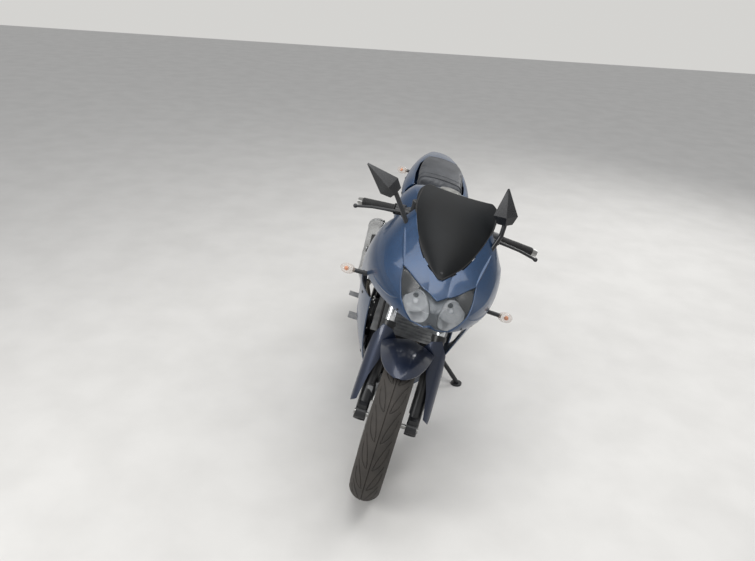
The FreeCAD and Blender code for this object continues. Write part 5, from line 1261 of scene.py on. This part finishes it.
def shroud(side):
    """A wall from a bowl's rim forward to just behind the lens."""
    shape = bmesh.new()
    rim = [shape.verts.new(mm(x, SHROUD_BACK_Y, z)) for x, z in round_lamp(side, SHROUD_BACK_R)]
    mouth = [shape.verts.new(mm(x, shroud_y(x, z), z)) for x, z in round_lamp(side, SHROUD_FRONT_R)]
    for i in range(SHROUD_STEPS):
        shape.faces.new((rim[i], rim[i - 1], mouth[i - 1], mouth[i]))
    bmesh.ops.solidify(shape, geom=shape.faces[:], thickness=BOWL_WALL * MM)
    return shape


for side, where in SIDES:
    piece("reflector_shroud_" + where, shroud(side), bike_frame, "chassis", "chrome", aluminised)

# %% [markdown]
# The rider looks down on small round pieces: a turned cap on each fork leg, the nut of the steering stem
# between them, the pivots of both levers and the plastic lid of the fluid cup. Each is one outline spun round
# the line that it stands on, and a spin of six steps makes a hexagon.

# %% Fork caps, lever bolts and the fluid cup's lid
CLAMP_TOP, FORK_X, FORK_AHEAD = 976, 97, 30              # top of the upper clamp, and the legs' places
LEVER_PIVOT, LEVER_THICK = (132, 38, 1062), 7
CUP_FOOT, CUP_LEAN, CUP_HIGH = (-128, 42, 1066), (0, -2, 44), 42
steer_way = fork_point(0, 0, 1) - fork_point(0, 0, 0)


def up_the_fork(x, ahead, rise, lift=0):
    """Place in the fork's frame, raised in mm along the steering axis."""
    return fork_frame @ along(steer_way, fork_point(x, ahead, rise) + steer_way * lift)


fork_cap = spun([(AXIS, 0), (15, 0), (15, 3), (13.5, 4.5), (9, 4.5), (9, 8), (8, 9), (AXIS, 9)], HEXAGON)
fork_tops = [up_the_fork(side * FORK_X, FORK_AHEAD, CLAMP_TOP) for side, _ in SIDES]
copies("fork_caps", fork_cap, fork_tops, "steering", "alloy", machined_steel)
pivot_x, pivot_ahead, pivot_rise = LEVER_PIVOT
lever_pivots = [up_the_fork(side * pivot_x, pivot_ahead, pivot_rise, LEVER_THICK) for side, _ in SIDES]
copies("lever_pivot_bolts", screw_head(6.5, 4, HEXAGON), lever_pivots, "steering", "steel",
       machined_steel)
cup_way = mm(*CUP_LEAN).normalized()
cup_lid = spun([(AXIS, 0), (18.4, 0), (18.4, 5.5), (17, 7), (12, 7), (12, 5.6), (AXIS, 5.6)], 36)
piece("cup_lid", cup_lid, fork_frame @ along(cup_way, fork_point(*CUP_FOOT) + cup_way * CUP_HIGH * MM),
      "steering", "black_plastic", black_abs)
stem_nut = spun([(AXIS, 0), (14, 0), (14, 7), (12.5, 8.5), (AXIS, 8.5)], HEXAGON)
piece("stem_nut", stem_nut, up_the_fork(0, 0, CLAMP_TOP), "steering", "alloy", machined_steel)

# %% [markdown]
# The pillion's pegs and the gear lever wear ribbed rubber sleeves. Like the grips, each is one outline spun
# round the bar it covers.

# %% Rubbers on the pegs and the gear lever
PEG_INNER, PEG_OUTER, PEG_BARE = (178, 1078, 477), (248, 1078, 480), 0.16    # share left bare
TOE_INNER, TOE_OUTER = (192, 700, 312), (240, 700, 314)
PEG_RIBS, PEG_RIB_PITCH = 6, 8
TOE_R, TOE_GROOVE_R, TOE_BORE_R = 11.5, 10.6, 9.1

peg_sleeve = [(11.6, 0), (15.4, 0), (15.4, 3)]
for i in range(PEG_RIBS):
    low = i * PEG_RIB_PITCH
    peg_sleeve += [(14, low + 4), (14, low + 6), (15.6, low + 7.5), (15.6, low + 10.5)]
peg_sleeve += [(14.6, 54), (11.6, 54)]
pegs = []
for side, _ in SIDES:
    start, end = [mm(side * x, y, z) for x, y, z in (PEG_INNER, PEG_OUTER)]
    pegs.append(bike_frame @ along(end - start, start + (end - start) * PEG_BARE))
copies("pillion_peg_rubbers", spun(peg_sleeve, 28), pegs, "chassis", "rubber", rubber)

toe_sleeve = [(TOE_BORE_R, 6), (TOE_R, 6)]
for low in (12, 21, 30):
    toe_sleeve += [(TOE_R, low), (TOE_GROOVE_R, low + 1.5), (TOE_R, low + 3)]
toe_sleeve += [(TOE_R, 40), (11, 45), (TOE_BORE_R, 45)]
toe_place, _ = line_frame(TOE_INNER, TOE_OUTER)
piece("gear_lever_rubber", spun(toe_sleeve, 28), toe_place, "chassis", "rubber", rubber)

# %% [markdown]
# Under the filler's lid there are a machined ring and a spring-loaded flap. The tank is a solid, so the flap
# is a thin disc that closes the neck. The lid's joint shows both when it opens.

# %% Filler under the lid
FILLER_TOP = (0, 640, 1008)
filler_place = bike_frame @ Matrix.Translation(mm(*FILLER_TOP))
piece("filler_ring", spun([(21, -0.6), (38, -0.6), (38, 0.16), (21, 0.16)], 56), filler_place,
      "chassis", "steel", machined_steel)
piece("filler_flap", spun([(AXIS, -0.6), (20.6, -0.6), (20.6, 0.1), (AXIS, 0.1)], 56), filler_place,
      "chassis", "black_plastic", black_abs)

# %% [markdown]
# Each wheel has a rubber valve that stands in the rim's well and points at the axle. It is one outline spun
# and turned with its wheel.

# %% Valves of the wheels
VALVE_OUTLINE = ((AXIS, 0), (3, 0), (4, 4), (4, 12), (2.6, 14), (2.6, 26), (3.6, 27), (3.6, 32), (3, 34),
                 (AXIS, 34))
VALVE_SEAT_R, VALVE_TURN = 196, math.radians(24)
for name, hub, turn, body in (("front_valve", front_hub, fork_turn, "front_wheel"),
                              ("rear_valve", rear_hub, bike, "rear_wheel")):
    spoke = Matrix.Translation(hub) @ turn @ Matrix.Rotation(VALVE_TURN, 4, "X")
    place = spoke @ Matrix.Translation(mm(0, 0, VALVE_SEAT_R)) @ Matrix.Rotation(math.pi, 4, "X")
    piece(name, spun(VALVE_OUTLINE, 16), place, body, "rubber", rubber)

# %% [markdown]
# A padded band along the front of the pillion's cushion keeps the rider from sliding back. It is sewn on like
# the piping, only thicker, so the function that made the seams makes it too.

# %% Raised band along the front of the pillion seat
seam("pillion_front_band", pillion_pad, 1122, 900, -0.25, 5 * MM)

# %% [markdown]
# The studio is a pale sealed floor under soft light. A bare world colour would light the bike from below as
# strongly as from above, so the world is brighter to the camera and in reflections than as light, and three
# soft boxes give the shapes their highlights and a soft shadow.

# %% Floor
FLOOR_HALF = 15.0           # metres
floor_mesh = bpy.data.meshes.new("floor")
shape = bmesh.new()
bmesh.ops.create_grid(shape, x_segments=1, y_segments=1, size=FLOOR_HALF)
shape.to_mesh(floor_mesh)
floor = bpy.data.objects.new("floor", floor_mesh)
bpy.context.scene.collection.objects.link(floor)
floor_finish, tree, shader = finish("pale_sealed_concrete", Roughness=0.75)
place = mottled(tree, shader, "#cbc9c5", "#d1cfcb", 260)
roughened(tree, shader, place, 12, 0.65, 0.85, 0.1, 0.4)
floor_mesh.materials.append(floor_finish)
print("floor", 2 * FLOOR_HALF, "m wide")

# %% World
BACKDROP, AMBIENT = ("#e4e3e0", 0.85), ("#e4e6ea", 0.68)       # colour and strength
world = bpy.data.worlds.new("soft_room")
bpy.context.scene.world = world
world.use_nodes = True
tree = world.node_tree
path = add(tree, "ShaderNodeLightPath")
either = (("operation", "MAXIMUM"),)
seen = add(tree, "ShaderNodeMath", either, _0=path.outputs["Is Camera Ray"],
           _1=path.outputs["Is Transmission Ray"])
seen = add(tree, "ShaderNodeMath", either, _0=seen.outputs["Value"], _1=path.outputs["Is Glossy Ray"])
backdrop = add(tree, "ShaderNodeBackground", Color=colour(BACKDROP[0]), Strength=BACKDROP[1])
ambient = add(tree, "ShaderNodeBackground", Color=colour(AMBIENT[0]), Strength=AMBIENT[1])
blend = add(tree, "ShaderNodeMixShader", _0=seen.outputs["Value"])
tree.links.new(ambient.outputs[0], blend.inputs[1])
tree.links.new(backdrop.outputs[0], blend.inputs[2])
tree.links.new(blend.outputs[0], tree.nodes["World Output"].inputs["Surface"])
print("world lights with", AMBIENT[1], "and shows", BACKDROP[1])

# %% Soft boxes
# Columns: name, place and aim in metres, side of the box in metres, power in watts
LAMPS = (("overhead", (0.4, -0.4, 3.4), (0, 0, 0.5), 3.0, 82),
         ("front_right", (-2.6, -2.6, 2.4), (0, -0.4, 0.6), 1.5, 60),
         ("back_left", (2.4, 2.8, 2.6), (0, 0.4, 0.6), 1.5, 50))
for name, place, aim, size, power in LAMPS:
    data = bpy.data.lights.new(name, "AREA")
    data.size = size
    data.energy = power
    made = bpy.data.objects.new(name, data)
    made.location = place
    made.rotation_euler = (Vector(aim) - Vector(place)).to_track_quat("-Z", "Y").to_euler()
    bpy.context.scene.collection.objects.link(made)
    print(name, size, "m,", power, "W")

# %% [markdown]
# The camera stands where the photo was taken from: its place from the front axle, its direction and its lens
# were fitted to sizes that are known, such as the tyres and the space between the axles. Yaw, pitch and roll
# turn it from looking straight along the bike's length.

# %% Camera
CAMERA_FROM_FRONT_HUB = Vector((0.050, -2.047, 1.502))
CAMERA_YAW, CAMERA_PITCH, CAMERA_ROLL = -3.1, 24.6, 3.4
FOCAL_PX, PHOTO_WIDTH, SENSOR_MM = 675.0, 755.0, 36.0
camera_data = bpy.data.cameras.new("camera")
camera_data.sensor_width = SENSOR_MM
camera_data.lens = FOCAL_PX * SENSOR_MM / PHOTO_WIDTH
camera = bpy.data.objects.new("camera", camera_data)
yaw, pitch, roll = (math.radians(a) for a in (CAMERA_YAW, CAMERA_PITCH, CAMERA_ROLL))
ahead = Vector((math.sin(yaw) * math.cos(pitch), math.cos(yaw) * math.cos(pitch),
                -math.sin(pitch)))
right = Vector((math.cos(yaw), -math.sin(yaw), 0))
above = right.cross(ahead)
side = right * math.cos(roll) + above * math.sin(roll)
above = above * math.cos(roll) - right * math.sin(roll)
turn = Matrix((side, above, -ahead)).transposed().to_4x4()
camera.matrix_world = Matrix.Translation(front_hub + CAMERA_FROM_FRONT_HUB) @ turn
bpy.context.scene.collection.objects.link(camera)
bpy.context.scene.camera = camera
bpy.context.scene.view_settings.view_transform = "Standard"
print("lens", round(camera_data.lens, 1), "mm at", [round(c, 2) for c in camera.matrix_world.translation])
